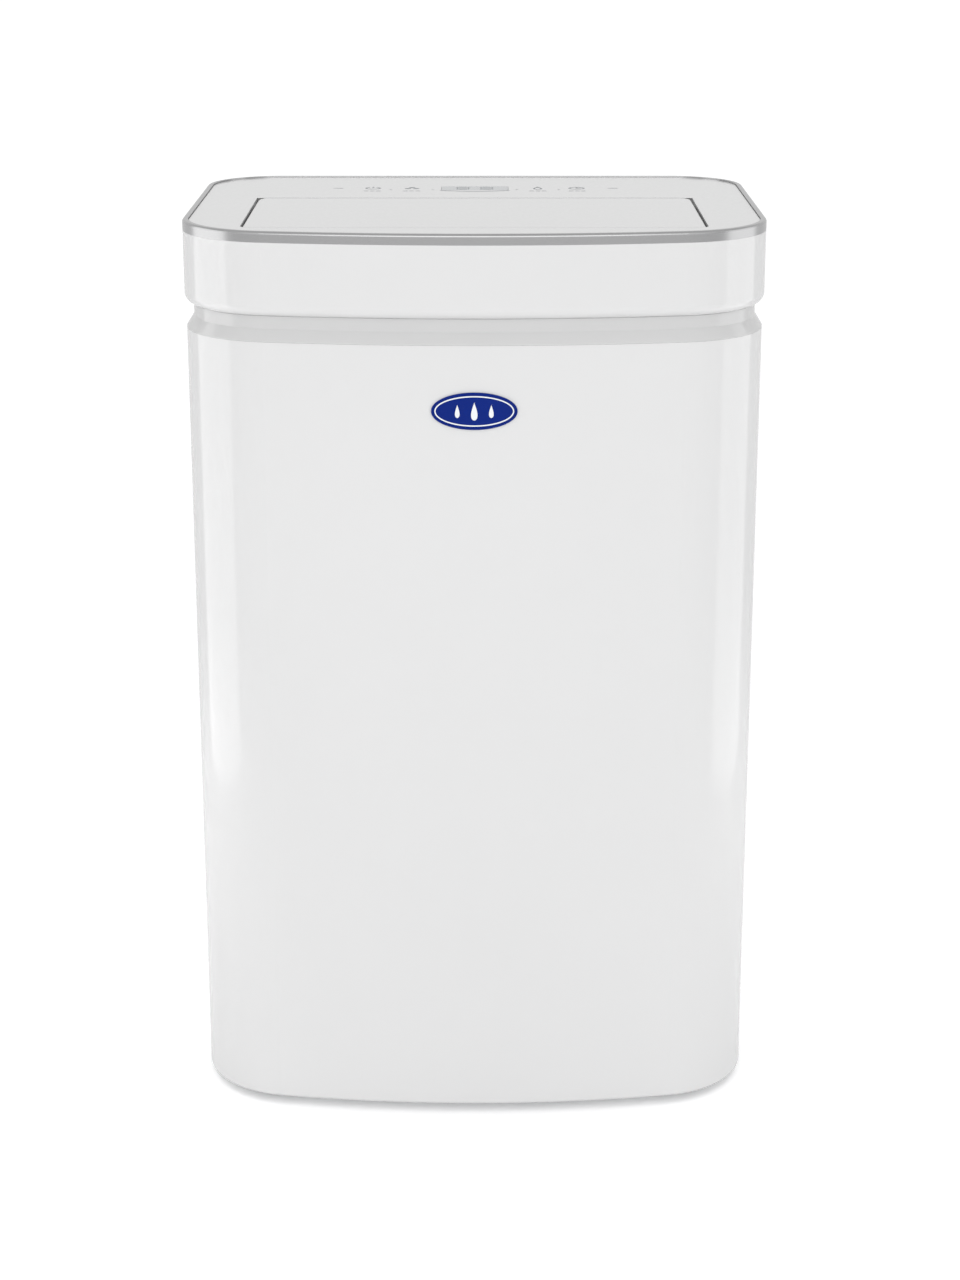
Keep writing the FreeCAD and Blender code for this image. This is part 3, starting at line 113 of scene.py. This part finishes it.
# Metal: a base tone broken by a stretched grain (rolled, drawn or brushed) and, where wanted, large crystals.
def workedMetal(look):
    material, tree, place = startMaterial(look["name"])
    stretch = addNode(tree, "ShaderNodeMapping", {"Scale": look["grainStretch"]}, {"Vector": place})
    grain = addNode(tree, "ShaderNodeTexNoise", {"Scale": perMetre(look["grainMm"]), "Detail": 3.0},
                    {"Vector": stretch.outputs[0]})
    patch = addNode(tree, "ShaderNodeTexVoronoi", {"Scale": perMetre(look["patchMm"])}, {"Vector": place})
    tone = addNode(tree, "ShaderNodeMix", {"data_type": "FLOAT", 0: look["patchShare"]},
                   {2: grain.outputs["Fac"], 3: patch.outputs["Distance"]})
    colour = addNode(tree, "ShaderNodeMix",
                     {"data_type": "RGBA", 6: linear(look["colour"]), 7: linear(look["shade"])},
                     {0: tone.outputs[0]})
    low, high = look["roughness"]
    rough = addNode(tree, "ShaderNodeMapRange", {"To Min": low, "To Max": high}, {"Value": tone.outputs[0]})
    bump = addNode(tree, "ShaderNodeBump", {"Strength": 0.5, "Distance": look["grainDepthMm"] * mm},
                   {"Height": grain.outputs["Fac"]})
    shader = addNode(tree, "ShaderNodeBsdfPrincipled", {"Metallic": 1.0},
                     {"Base Color": colour.outputs[2], "Roughness": rough.outputs[0],
                      "Normal": bump.outputs[0]})
    return endMaterial(material, tree, shader)


plasticLooks = {
    # gloss ABS, polished mould: clean white with a soft mirror of the lights
    "mouldedGlossAbs": {"colour": "#DFDFDF", "shade": "#DDDDDD", "driftMm": 90, "grainMm": 2.2,
                        "grainDepthMm": 0.003, "roughness": (0.13, 0.16), "edgeMm": 0.5, "ior": 1.54,
                        "coat": 0.25},
    # ABS of the grip channel: the same white ABS painted a shade darker as painted shade of the recess, so
    # the groove reads as a grey line round the casing
    "mouldedAbsWithPaintedShade": {"colour": "#CFCFCF", "shade": "#CDCDCD", "driftMm": 90, "grainMm": 2.2,
                       "grainDepthMm": 0.001, "roughness": (0.15, 0.18), "edgeMm": 0.8, "ior": 1.54,
                       "coat": 0.25},
    # polypropylene of the hidden parts: greyer, waxy
    "mouldedPolypropylene": {"colour": "#D6D8D9", "shade": "#CDD0D1", "driftMm": 60, "grainMm": 1.0,
                             "grainDepthMm": 0.03, "roughness": (0.38, 0.5), "edgeMm": 0.4, "ior": 1.49},
    # glass-filled nylon: near black, dry
    "mouldedBlackNylon": {"colour": "#1C1D1F", "shade": "#26272A", "driftMm": 30, "grainMm": 0.7,
                          "grainDepthMm": 0.03, "roughness": (0.42, 0.55), "edgeMm": 0.3, "ior": 1.53},
    # nylon net of the filter: dark grey thread
    "wovenNylonThread": {"colour": "#3B3E42", "shade": "#4A4E53", "driftMm": 12, "grainMm": 0.5,
                         "grainDepthMm": 0.02, "roughness": (0.45, 0.6), "edgeMm": 0.1, "ior": 1.53},
    # milky polypropylene of the bucket: lets some light through
    "mouldedMilkyPolypropylene": {"colour": "#DDE4EA", "shade": "#D2DCE4", "driftMm": 45, "grainMm": 1.4,
                                  "grainDepthMm": 0.02, "roughness": (0.24, 0.34), "edgeMm": 0.5, "ior": 1.49,
                                  "milky": 0.35},
    # closed-cell foam of the float
    "cutPolystyreneFoam": {"colour": "#E6E4DE", "shade": "#D8D6CF", "driftMm": 8, "grainMm": 2.4,
                           "grainDepthMm": 0.25, "roughness": (0.75, 0.9), "edgeMm": 0.6, "ior": 1.5},
    # moulded rubber: matt black with a slight bloom
    "mouldedRubber": {"colour": "#17181A", "shade": "#242527", "driftMm": 10, "grainMm": 0.6,
                      "grainDepthMm": 0.04, "roughness": (0.62, 0.8), "edgeMm": 0.6, "ior": 1.52},
    # soft tread of the casters: mid grey
    "mouldedSoftTread": {"colour": "#6A6D70", "shade": "#5D6063", "driftMm": 9, "grainMm": 0.8,
                         "grainDepthMm": 0.05, "roughness": (0.55, 0.7), "edgeMm": 0.4, "ior": 1.52},
    # smoke-grey acrylic window over the display
    "polishedSmokeAcrylic": {"colour": "#9FA4A8", "shade": "#979CA0", "driftMm": 40, "grainMm": 4.0,
                             "grainDepthMm": 0.002, "roughness": (0.05, 0.09), "edgeMm": 0.2, "ior": 1.49,
                             "coat": 0.5},
    # enamel fill of the badge: deep blue under clear lacquer
    "lacqueredBlueEnamel": {"colour": "#062783", "shade": "#052172", "driftMm": 20, "grainMm": 1.2,
                            "grainDepthMm": 0.004, "roughness": (0.2, 0.26), "edgeMm": 0.2, "ior": 1.5,
                            "specular": 0.12},
    # white lines and drops of the badge: bright and wet-looking
    "lacqueredWhiteEnamel": {"colour": "#F2F4F6", "shade": "#E9ECF0", "driftMm": 20, "grainMm": 1.2,
                             "grainDepthMm": 0.004, "roughness": (0.12, 0.18), "edgeMm": 0.1, "ior": 1.5,
                             "coat": 0.6},
    # grey ink of the key symbols, printed under a clear skin
    "screenPrintedInk": {"colour": "#8C9094", "shade": "#84888C", "driftMm": 12, "grainMm": 0.4,
                         "grainDepthMm": 0.002, "roughness": (0.3, 0.4), "edgeMm": 0.05, "ior": 1.5},
    # epoxy board under green solder mask
    "laminatedCircuitBoard": {"colour": "#14613A", "shade": "#0E4E2E", "driftMm": 3, "grainMm": 0.9,
                              "grainDepthMm": 0.02, "roughness": (0.25, 0.4), "edgeMm": 0.1, "ior": 1.55},
    # satin black paint on the compressor, sprayed: slight orange peel
    "sprayedBlackEnamel": {"colour": "#15161A", "shade": "#1B1D21", "driftMm": 35, "grainMm": 1.6,
                           "grainDepthMm": 0.05, "roughness": (0.2, 0.32), "edgeMm": 0.8, "ior": 1.5,
                           "coat": 0.2},
}
metalLooks = {
    # vacuum-plated satin trim: pale, even, with soft reflections
    "platedSatinTrim": {"colour": "#B4B4B4", "shade": "#A8A8A9", "grainMm": 1.5, "grainStretch": (1, 1, 6),
                        "patchMm": 30, "patchShare": 0.2, "roughness": (0.2, 0.28), "grainDepthMm": 0.004},
    # hot-dip galvanised sheet: large dull crystals
    "galvanisedSteel": {"colour": "#B4B7BA", "shade": "#8F9397", "grainMm": 1.2, "grainStretch": (1, 1, 1),
                        "patchMm": 7, "patchShare": 0.75, "roughness": (0.32, 0.5), "grainDepthMm": 0.02},
    # rolled aluminium fin stock: bright, streaked along the roll
    "rolledAluminium": {"colour": "#D7DADC", "shade": "#C2C6C9", "grainMm": 0.6, "grainStretch": (1, 1, 0.1),
                        "patchMm": 12, "patchShare": 0.15, "roughness": (0.22, 0.36), "grainDepthMm": 0.01},
    # drawn copper: warm, streaked along the tube, darker where it was brazed
    "drawnCopper": {"colour": "#C77B54", "shade": "#A05E3F", "grainMm": 0.8, "grainStretch": (0.15, 1, 1),
                    "patchMm": 18, "patchShare": 0.45, "roughness": (0.2, 0.38), "grainDepthMm": 0.02},
    # zinc-plated steel of screws and shaft: bluish bright
    "zincPlatedSteel": {"colour": "#C5C9CC", "shade": "#A9AEB2", "grainMm": 0.5, "grainStretch": (1, 1, 1),
                        "patchMm": 3, "patchShare": 0.3, "roughness": (0.25, 0.38), "grainDepthMm": 0.01},
    # drawn can of the capacitor and the rating plate: pale, with a fine upright grain
    "drawnAluminiumCan": {"colour": "#CFD2D4", "shade": "#B9BDC0", "grainMm": 0.6,
                          "grainStretch": (1, 1, 0.08), "patchMm": 20, "patchShare": 0.2,
                          "roughness": (0.25, 0.35), "grainDepthMm": 0.01},
}
finishes = {}
for name, look in plasticLooks.items():
    finishes[name] = mouldedPlastic({"name": name, **look})
for name, look in metalLooks.items():
    finishes[name] = workedMetal({"name": name, **look})
print("stage: materials made,", len(finishes))

corners = ("front_left", "front_right", "rear_left", "rear_right")
nodeFinish = {
    "mouldedGlossAbs": ["front_cover", "rear_cover", "top_band", "top_deck", "outlet_flap", "bucket_front",
                        "intake_grille", "drain_cover"],
    # the grip channel takes the white ABS with the groove's painted shade
    "mouldedAbsWithPaintedShade": ["grip_channel"],
    "platedSatinTrim": ["trim_ring"],
    "polishedSmokeAcrylic": ["display_window"],
    "lacqueredBlueEnamel": ["badge"],
    "mouldedPolypropylene": ["outlet_guard", "outlet_duct", "base_pan", "bucket_bay", "drip_tray",
                             "coil_frame", "blower_scroll", "power_box", "power_box_lid", "bucket_cover",
                             "bucket_handle", "filter_frame"],
    "mouldedBlackNylon": ["terminal_cover", "humidity_sensor", "float_switch", "drain_outlet", "cord_gland",
                          "fan_wheel"] + ["caster_fork_" + corner for corner in corners],
    "mouldedSoftTread": ["caster_wheel_" + corner for corner in corners],
    "mouldedMilkyPolypropylene": ["water_bucket"],
    "cutPolystyreneFoam": ["bucket_float"],
    "mouldedRubber": ["compressor_grommets"],
    "wovenNylonThread": ["filter_mesh"],
    "laminatedCircuitBoard": ["control_board", "power_board"],
    "sprayedBlackEnamel": ["compressor_shell"],
    "galvanisedSteel": ["flap_motor", "fan_motor", "compressor_core"],
    "drawnAluminiumCan": ["run_capacitor"],
    "zincPlatedSteel": ["fan_shaft", "casing_screws"],
    "rolledAluminium": ["evaporator_fins", "condenser_fins"],
    "drawnCopper": ["evaporator_tubes", "condenser_tubes", "accumulator", "suction_line", "discharge_line",
                    "filter_drier", "capillary_tube"],
}
for finish, names in nodeFinish.items():
    for name in names:
        slots = nodes[name].material_slots
        for slot in slots:
            slot.link = "OBJECT"
            slot.material = finishes[finish]
        if not slots:
            nodes[name].data.materials.append(finishes[finish])
print("stage: CAD nodes finished")


# pieces: each is built in metres from the boxes of the CAD nodes

def addPiece(name, shape, finish, body):
    bmesh.ops.recalc_face_normals(shape, faces=shape.faces)
    mesh = bpy.data.meshes.new(name)
    shape.to_mesh(mesh)
    shape.free()
    piece = bpy.data.objects.new(name, mesh)
    bpy.context.scene.collection.objects.link(piece)
    mesh.materials.append(finishes[finish])
    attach(piece, body)
    return piece


def addPrism(shape, outline, thickness, place):  # closed outline in mm, set in the scene by place(u, v, w)
    low = [shape.verts.new(place(u, v, 0.0)) for u, v in outline]
    high = [shape.verts.new(place(u, v, thickness)) for u, v in outline]
    count = len(outline)
    shape.faces.new(list(reversed(low)))
    shape.faces.new(high)
    for i in range(count):
        j = (i + 1) % count
        shape.faces.new((low[i], low[j], high[j], high[i]))


def addRibbon(shape, line, width, thickness, place, closed=False):  # stroke of even width along a line
    count = len(line)
    sides = []
    for i, (u, v) in enumerate(line):
        before = line[i - 1] if i or closed else line[i]
        after = line[(i + 1) % count] if i < count - 1 or closed else line[i]
        along = Vector((after[0] - before[0], after[1] - before[1])).normalized()
        across = Vector((-along.y, along.x)) * width / 2
        sides.append([shape.verts.new(place(u + s * across.x, v + s * across.y, w))
                      for w in (0.0, thickness) for s in (-1, 1)])
    last = count if closed else count - 1
    for i in range(last):
        a, b = sides[i], sides[(i + 1) % count]
        for p, q in ((0, 1), (1, 3), (3, 2), (2, 0)):
            shape.faces.new((a[p], a[q], b[q], b[p]))
    if not closed:
        shape.faces.new([sides[0][k] for k in (0, 2, 3, 1)])
        shape.faces.new([sides[-1][k] for k in (0, 1, 3, 2)])


def arcLine(u, v, radius, start, end, steps=24):  # degrees, anticlockwise from +u
    angles = [math.radians(start + (end - start) * i / steps) for i in range(steps + 1)]
    return [(u + radius * math.cos(a), v + radius * math.sin(a)) for a in angles]


def ellipseLine(u, v, half, rise, steps=72):
    angles = [2 * math.pi * i / steps for i in range(steps)]
    return [(u + half * math.cos(a), v + rise * math.sin(a)) for a in angles]


def teardrop(u, v, half, rise, steps=28):  # pointed at +v
    angles = [2 * math.pi * i / steps for i in range(steps)]
    return [(u - half * math.sin(a) * math.sin(a / 2) ** 1.5, v + rise * math.cos(a)) for a in angles]


def barOutline(u, v, width, height):
    return [(u - width / 2, v - height / 2), (u + width / 2, v - height / 2),
            (u + width / 2, v + height / 2), (u - width / 2, v + height / 2)]


def boxOf(name):  # lowest corner, highest corner and middle of a CAD node
    low, high = (Vector(corner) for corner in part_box(name))
    return low, high, (low + high) / 2


badgeLook = {
    "bow": 770.0,  # radius of the front cover's bow, which the oval follows
    "sunk": 0.3,  # the blue field lies this far below the rim
    "rimWidth": 1.0,
    "ringInset": 2.6,  # white ring inside the rim
    "ringWidth": 0.8,
    "dropRise": 6.0,  # generic water drops
    "dropHalf": 3.0,
    "dropPitch": 11.0,
    "sideDrop": 0.72,  # size of the outer drops beside the middle one
}


def addBowedOval(shape, half, rise, back, front, place, steps=48):  # strips across keep the face bowed
    columns = []
    for i in range(steps + 1):
        a = math.pi * i / steps
        columns.append([shape.verts.new(place(half * math.cos(a), s * rise * math.sin(a), w))
                        for w in (back, front) for s in (-1, 1)])
    for a, b in zip(columns, columns[1:]):
        for p, q in ((0, 1), (1, 3), (3, 2), (2, 0)):
            shape.faces.new((a[p], a[q], b[q], b[p]))
    bmesh.ops.remove_doubles(shape, verts=shape.verts, dist=0.0001 * mm)


def buildBadge():
    look = badgeLook
    low, high, centre = boxOf("badge")
    half, rise = (high.x - low.x) / mm / 2, (high.z - low.z) / mm / 2
    bow, sunk = look["bow"], look["sunk"]
    wall = (high.y - low.y) / mm - (bow - math.sqrt(bow * bow - half * half))

    def place(u, v, w):  # w is 0 at the front of the rim and negative behind it
        return (centre.x + u * mm, low.y + (bow - math.sqrt(bow * bow - u * u) - w) * mm, centre.z + v * mm)

    def placeOnField(u, v, w):
        return place(u, v, w - sunk - 0.02)

    oval = bmesh.new()
    addBowedOval(oval, half - look["rimWidth"] / 2, rise - look["rimWidth"] / 2, -wall, -sunk, place)
    edge = ellipseLine(0, 0, half - look["rimWidth"] / 2, rise - look["rimWidth"] / 2)
    addRibbon(oval, edge, look["rimWidth"], wall, lambda u, v, w: place(u, v, w - wall), closed=True)
    piece = addPiece("badge_oval", oval, "lacqueredBlueEnamel", "casing")
    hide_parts("badge")
    ring = bmesh.new()
    addRibbon(ring, ellipseLine(0, 0, half - look["ringInset"], rise - look["ringInset"]), look["ringWidth"],
              sunk, placeOnField, closed=True)
    addPiece("badge_ring", ring, "lacqueredWhiteEnamel", "casing")
    drops = bmesh.new()
    for n in (-1, 0, 1):
        size = look["sideDrop"] if n else 1.0
        outline = teardrop(n * look["dropPitch"], 0, size * look["dropHalf"], size * look["dropRise"])
        addPrism(drops, outline, sunk, placeOnField)
    addPiece("badge_drops", drops, "lacqueredWhiteEnamel", "casing")


deckLook = {
    "ink": 0.06,  # thickness of the print
    "stroke": 1.3,
    "keyX": (-73.0, -45.0, 45.0, 73.0),  # power, fan, drop, clock
    "keySize": 6.2,
    "dashX": (-98.0, 99.0),
    "dashSize": (7.0, 1.4),
    "labelY": -15.0,  # three short bars in front of each key stand for its label
    "labelBar": (3.2, 1.6),
    "labelPitch": 4.4,
    "dotX": (-60.0, -30.0, 30.0, 60.0),  # indicator dots between the keys
    "dotRadius": 0.8,
    "archY": -17.0,  # arch in front of the display
    "archRadius": 60.0,
    "archAngles": (246, 294),
    "digitX": (-8.5, 8.5),
    "digitHalf": (4.0, 3.0),  # from a digit's middle to its upright segments, across and along
    "segment": (1.1, 6.0, 4.2),  # width of a segment, and length of the level and the upright ones
}


def buildDeckPrint():
    look = deckLook
    high, centre = boxOf("display_window")[1:]

    def place(u, v, w):
        return (u * mm, centre.y + v * mm, high.z + (w + 0.01) * mm)

    ink, stroke, size = look["ink"], look["stroke"], look["keySize"]
    power, fan, drop, clock = look["keyX"]
    keys = bmesh.new()
    addRibbon(keys, arcLine(power, 0, size * 0.8, 120, 420), stroke, ink, place)  # ring open at the top
    addPrism(keys, barOutline(power, size * 0.7, stroke, size * 0.9), ink, place)
    for turn in (90, 210, 330):  # three blades
        a = math.radians(turn)
        middle = (fan + size * 0.55 * math.cos(a), size * 0.55 * math.sin(a))
        addPrism(keys, ellipseLine(*middle, size * 0.36, size * 0.36, 16), ink, place)
    addRibbon(keys, teardrop(drop, 0, size * 0.6, size), stroke, ink, place, closed=True)
    addRibbon(keys, arcLine(clock, 0, size * 0.85, 0, 345), stroke, ink, place)
    addPrism(keys, barOutline(clock, size * 0.25, stroke, size * 0.6), ink, place)  # the two hands
    addPrism(keys, barOutline(clock + size * 0.2, 0, size * 0.5, stroke), ink, place)
    for x in look["dashX"]:
        addPrism(keys, barOutline(x, 0, *look["dashSize"]), ink, place)
    for x in look["keyX"]:
        for n in (-1, 0, 1):
            bar = barOutline(x + n * look["labelPitch"], look["labelY"], *look["labelBar"])
            addPrism(keys, bar, ink, place)
    for x in look["dotX"]:
        dot = ellipseLine(x, look["labelY"] / 2, look["dotRadius"], look["dotRadius"], 16)
        addPrism(keys, dot, ink, place)
    arch = arcLine(0, look["archY"] + look["archRadius"], look["archRadius"], *look["archAngles"])
    addRibbon(keys, arch, stroke * 1.4, ink, place)
    addPiece("deck_print", keys, "screenPrintedInk", "casing")

    digits = bmesh.new()  # unlit segments seen through the window
    across, along = look["digitHalf"]
    width, level, upright = look["segment"]
    for x in look["digitX"]:
        for v in (-2 * along, 0.0, 2 * along):
            addPrism(digits, barOutline(x, v, level, width), ink, place)
        for u in (-across, across):
            for v in (-along, along):
                addPrism(digits, barOutline(x + u, v, width, upright), ink, place)
    addPiece("display_digits", digits, "screenPrintedInk", "casing")


def addBlock(shape, low, high):  # a box between two corners in metres
    verts = [shape.verts.new((x, y, z)) for x in (low[0], high[0]) for y in (low[1], high[1])
             for z in (low[2], high[2])]
    for face in ((0, 1, 3, 2), (4, 6, 7, 5), (0, 4, 5, 1), (2, 3, 7, 6), (0, 2, 6, 4), (1, 5, 7, 3)):
        shape.faces.new([verts[k] for k in face])


netLook = {
    "pitch": 3.2,  # drawn coarser than the real net, which has a thread every 1 mm
    "thread": 0.6,
}


def buildNet():
    low, high, centre = boxOf("filter_mesh")
    pitch, half = netLook["pitch"] * mm, netLook["thread"] * mm / 2
    net = bmesh.new()
    for axis, other in ((0, 2), (2, 0)):
        count = int((high[axis] - low[axis]) / pitch)
        step = (high[axis] - low[axis]) / count
        for n in range(1, count):
            a, b = list(low), list(high)
            a[axis], b[axis] = low[axis] + n * step - half, low[axis] + n * step + half
            behind, before = (1.6, 0.4) if axis else (0.4, 1.6)  # one set of threads lies over the other
            a[1], b[1] = centre.y - half * behind, centre.y + half * before
            addBlock(net, a, b)
    piece = addPiece("filter_net", net, "wovenNylonThread", "filter")
    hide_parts("filter_mesh")


finLook = {
    "pitch": 2.4,
    "thickness": 0.25,
    "bend": 0.4,  # every other fin is bent a little out of line
}


def buildFins(node):
    low, high = boxOf(node)[:2]
    count = int((high.x - low.x) / (finLook["pitch"] * mm))
    half = finLook["thickness"] * mm / 2
    pack = bmesh.new()
    for n in range(count + 1):
        x = low.x + half + n * (high.x - low.x - 2 * half) / count
        wave = finLook["bend"] * mm * (n % 2)
        addBlock(pack, (x - half, low.y + wave, low.z), (x + half, high.y - wave, high.z))
    piece = addPiece(node + "_pack", pack, "rolledAluminium", "casing")
    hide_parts(node)


plateLook = {
    "width": 62.0,
    "height": 32.0,
    "corner": 3.0,
    "fromMiddle": 78.0,
    "lift": 0.12,
    "rows": 5,  # plain bars where the ratings would be printed
    "rowPitch": 5.0,
    "rowHeight": 1.6,
    "margin": 6.0,
    "ragged": (7, 18),  # each row is shorter by a step of the first, within the second
    "ink": 0.05,
}


def buildRatingPlate():
    look = plateLook
    high, centre = boxOf("drain_cover")[1:]

    def place(u, v, w):
        return (u * mm, high.y + (w + 0.02) * mm, centre.z + v * mm)

    u, w, h = look["fromMiddle"], look["width"], look["height"]
    corner, margin = look["corner"], look["margin"]
    outline = []
    for cx, cy, start in ((1, 1, 0), (-1, 1, 90), (-1, -1, 180), (1, -1, 270)):
        outline += arcLine(u + cx * (w / 2 - corner), cy * (h / 2 - corner), corner, start, start + 90, 6)
    plate = bmesh.new()
    addPrism(plate, outline, look["lift"], place)
    addPiece("rating_plate", plate, "drawnAluminiumCan", "casing")
    rows = bmesh.new()
    step, limit = look["ragged"]
    for n in range(look["rows"]):
        v = h / 2 - margin - n * look["rowPitch"]
        long = w - 2 * margin - (n * step) % limit
        bar = barOutline(u + w / 2 - margin - long / 2, v, long, look["rowHeight"])
        addPrism(rows, bar, look["lift"] + look["ink"], place)
    addPiece("rating_rows", rows, "screenPrintedInk", "casing")


gaugeLook = {
    "first": 30.0,  # height of the lowest line above the bucket's floor
    "lines": 7,
    "pitch": 12.0,
    "short": 6.0,
    "long": 10.0,
    "stroke": 0.9,
    "ink": 0.08,
}


def buildGauge():
    look = gaugeLook
    low, centre = boxOf("water_bucket")[::2]
    ink, stroke = look["ink"] * mm, look["stroke"] * mm
    side = bmesh.new()
    for n in range(look["lines"]):
        reach = (look["short"] if n % 3 else look["long"]) * mm
        z = low.z + (look["first"] + n * look["pitch"]) * mm
        addBlock(side, (low.x - ink, centre.y - reach, z), (low.x, centre.y + reach, z + stroke))
    addPiece("bucket_gauge", side, "screenPrintedInk", "bucket")


buildBadge()
buildDeckPrint()
print("stage: badge and deck print built")
buildNet()
buildFins("evaporator_fins")
buildFins("condenser_fins")
buildRatingPlate()
buildGauge()
print("stage: net, fins, plate and gauge built")


# studio: pale floor that is see-through from below, soft lights and the camera

studio = {
    "floorHalf": 30.0,
    "floorColour": "#FDFDFD",
    "skyFront": 1.12,  # brightness of the white room in front
    "skyTop": 0.72,  # share of it left straight above
    "skyBack": 0.82,  # behind the casing
    "skySide": 0.6,  # and of the darker flags to the left and right
    "floorGlow": 0.28,  # light that the floor adds to keep its far part as pale as its near part
    "cameraX": 0.0037,
    "cameraY": -1.8,
    "cameraZ": 0.8582,
    "cameraTilt": 0.2999,  # radians below level
    "lens": 73.35,
}


def makeFloor():
    half = studio["floorHalf"]
    shape = bmesh.new()
    shape.faces.new([shape.verts.new((x, y, 0)) for x, y in barOutline(0, 0, 2 * half, 2 * half)])
    mesh = bpy.data.meshes.new("floor")
    shape.to_mesh(mesh)
    shape.free()
    floor = bpy.data.objects.new("floor", mesh)
    bpy.context.scene.collection.objects.link(floor)
    material, tree, place = startMaterial("paintedStudioFloor")
    speck = addNode(tree, "ShaderNodeTexNoise", {"Scale": 3.0, "Detail": 2.0}, {"Vector": place})
    colour = addNode(tree, "ShaderNodeMix",
                     {"data_type": "RGBA", 6: linear(studio["floorColour"]), 7: linear("#FBFBFC")},
                     {0: speck.outputs["Fac"]})
    matt = addNode(tree, "ShaderNodeBsdfDiffuse", links={"Color": colour.outputs[2]})
    path = addNode(tree, "ShaderNodeLightPath")
    level = addNode(tree, "ShaderNodeMath", {"operation": "MULTIPLY", 1: studio["floorGlow"]},
                    {0: path.outputs["Is Camera Ray"]})
    glow = addNode(tree, "ShaderNodeEmission",
                   links={"Color": colour.outputs[2], "Strength": level.outputs[0]})
    lit = addNode(tree, "ShaderNodeAddShader", links={0: matt.outputs[0], 1: glow.outputs[0]})
    clear = addNode(tree, "ShaderNodeBsdfTransparent")
    side = addNode(tree, "ShaderNodeNewGeometry")
    mixed = addNode(tree, "ShaderNodeMixShader", links={0: side.outputs["Backfacing"], 1: lit.outputs[0],
                                                        2: clear.outputs[0]})
    endMaterial(material, tree, mixed)
    mesh.materials.append(material)


def makeSky():
    world = bpy.data.worlds.new("studioSky")
    bpy.context.scene.world = world
    world.use_nodes = True
    tree = world.node_tree
    tree.nodes.clear()
    path = addNode(tree, "ShaderNodeLightPath")
    heading = addNode(tree, "ShaderNodeTexCoord").outputs["Generated"]
    axes = addNode(tree, "ShaderNodeSeparateXYZ", links={0: heading})
    side = addNode(tree, "ShaderNodeMath", {"operation": "ABSOLUTE"}, {0: axes.outputs[0]})
    depth = addNode(tree, "ShaderNodeMapRange",
                    {"From Min": 0.1, "From Max": 0.8, "To Min": studio["skyFront"],
                     "To Max": studio["skyBack"]},
                    {"Value": axes.outputs[1]})
    walls = addNode(tree, "ShaderNodeMapRange",
                    {"From Min": 0.6, "From Max": 0.98, "To Max": studio["skySide"]},
                    {"Value": side.outputs[0], "To Min": depth.outputs[0]})
    roof = addNode(tree, "ShaderNodeMapRange",
                   {"From Min": 0.35, "From Max": 0.9, "To Min": 1.0, "To Max": studio["skyTop"]},
                   {"Value": axes.outputs[2]})
    room = addNode(tree, "ShaderNodeMath", {"operation": "MULTIPLY"},
                   {0: walls.outputs[0], 1: roof.outputs[0]})
    strength = addNode(tree, "ShaderNodeMix", {"data_type": "FLOAT", 3: 1.0},
                       {0: path.outputs["Is Camera Ray"], 2: room.outputs[0]})
    back = addNode(tree, "ShaderNodeBackground", {"Color": (1, 1, 1, 1)}, {"Strength": strength.outputs[0]})
    output = addNode(tree, "ShaderNodeOutputWorld")
    tree.links.new(back.outputs[0], output.inputs["Surface"])


softboxes = {
    # tall strips beside the casing that only mirror in its gloss, as the bright bands of the front corners
    "stripLeft": {"place": (-0.8, -0.07, 0.42), "aim": (0, -0.07, 0.42), "size": (0.66, 1.1), "watts": 2.4,
                  "onlyShine": True, "spread": 180},
    "stripRight": {"place": (0.8, -0.04, 0.42), "aim": (0, -0.04, 0.42), "size": (0.58, 1.1), "watts": 1.7,
                   "onlyShine": True, "spread": 180},
    # small pools of light on the floor, which brighten the foot of the same bands
    "floorLeft": {"place": (-0.78, -0.05, 0.95), "aim": (-0.78, -0.05, 0), "size": (0.5, 0.9), "watts": 1.6,
                  "onlyShine": False, "spread": 70},
    "floorRight": {"place": (0.78, -0.05, 0.95), "aim": (0.78, -0.05, 0), "size": (0.5, 0.9), "watts": 1.2,
                   "onlyShine": False, "spread": 70},
    "frontFill": {"place": (0, -2.2, 1.4), "aim": (0, 0, 0.35), "size": (2.0, 1.5), "watts": 10,
                  "onlyShine": False, "spread": 180},
}


def softbox(name, box):
    light = bpy.data.lights.new(name, "AREA")
    light.shape = "RECTANGLE"
    light.size, light.size_y = box["size"]
    light.energy = box["watts"]
    light.spread = math.radians(box["spread"])
    lamp = bpy.data.objects.new(name, light)
    lamp.location = box["place"]
    lamp.rotation_euler = (Vector(box["aim"]) - Vector(box["place"])).to_track_quat("-Z", "Y").to_euler()
    lamp.visible_diffuse = not box["onlyShine"]
    bpy.context.scene.collection.objects.link(lamp)


def makeCamera():
    camera = bpy.data.cameras.new("camera")
    camera.lens = studio["lens"]
    camera.sensor_width = 36.0
    camera.clip_end = 200.0
    view = bpy.data.objects.new("camera", camera)
    view.location = (studio["cameraX"], studio["cameraY"], studio["cameraZ"])
    view.rotation_euler = (math.pi / 2 - studio["cameraTilt"], 0, 0)
    bpy.context.scene.collection.objects.link(view)
    bpy.context.scene.camera = view


makeFloor()
makeSky()
for name, box in softboxes.items():
    softbox(name, box)
makeCamera()
bpy.context.scene.view_settings.view_transform = "Standard"
print("stage: studio ready")
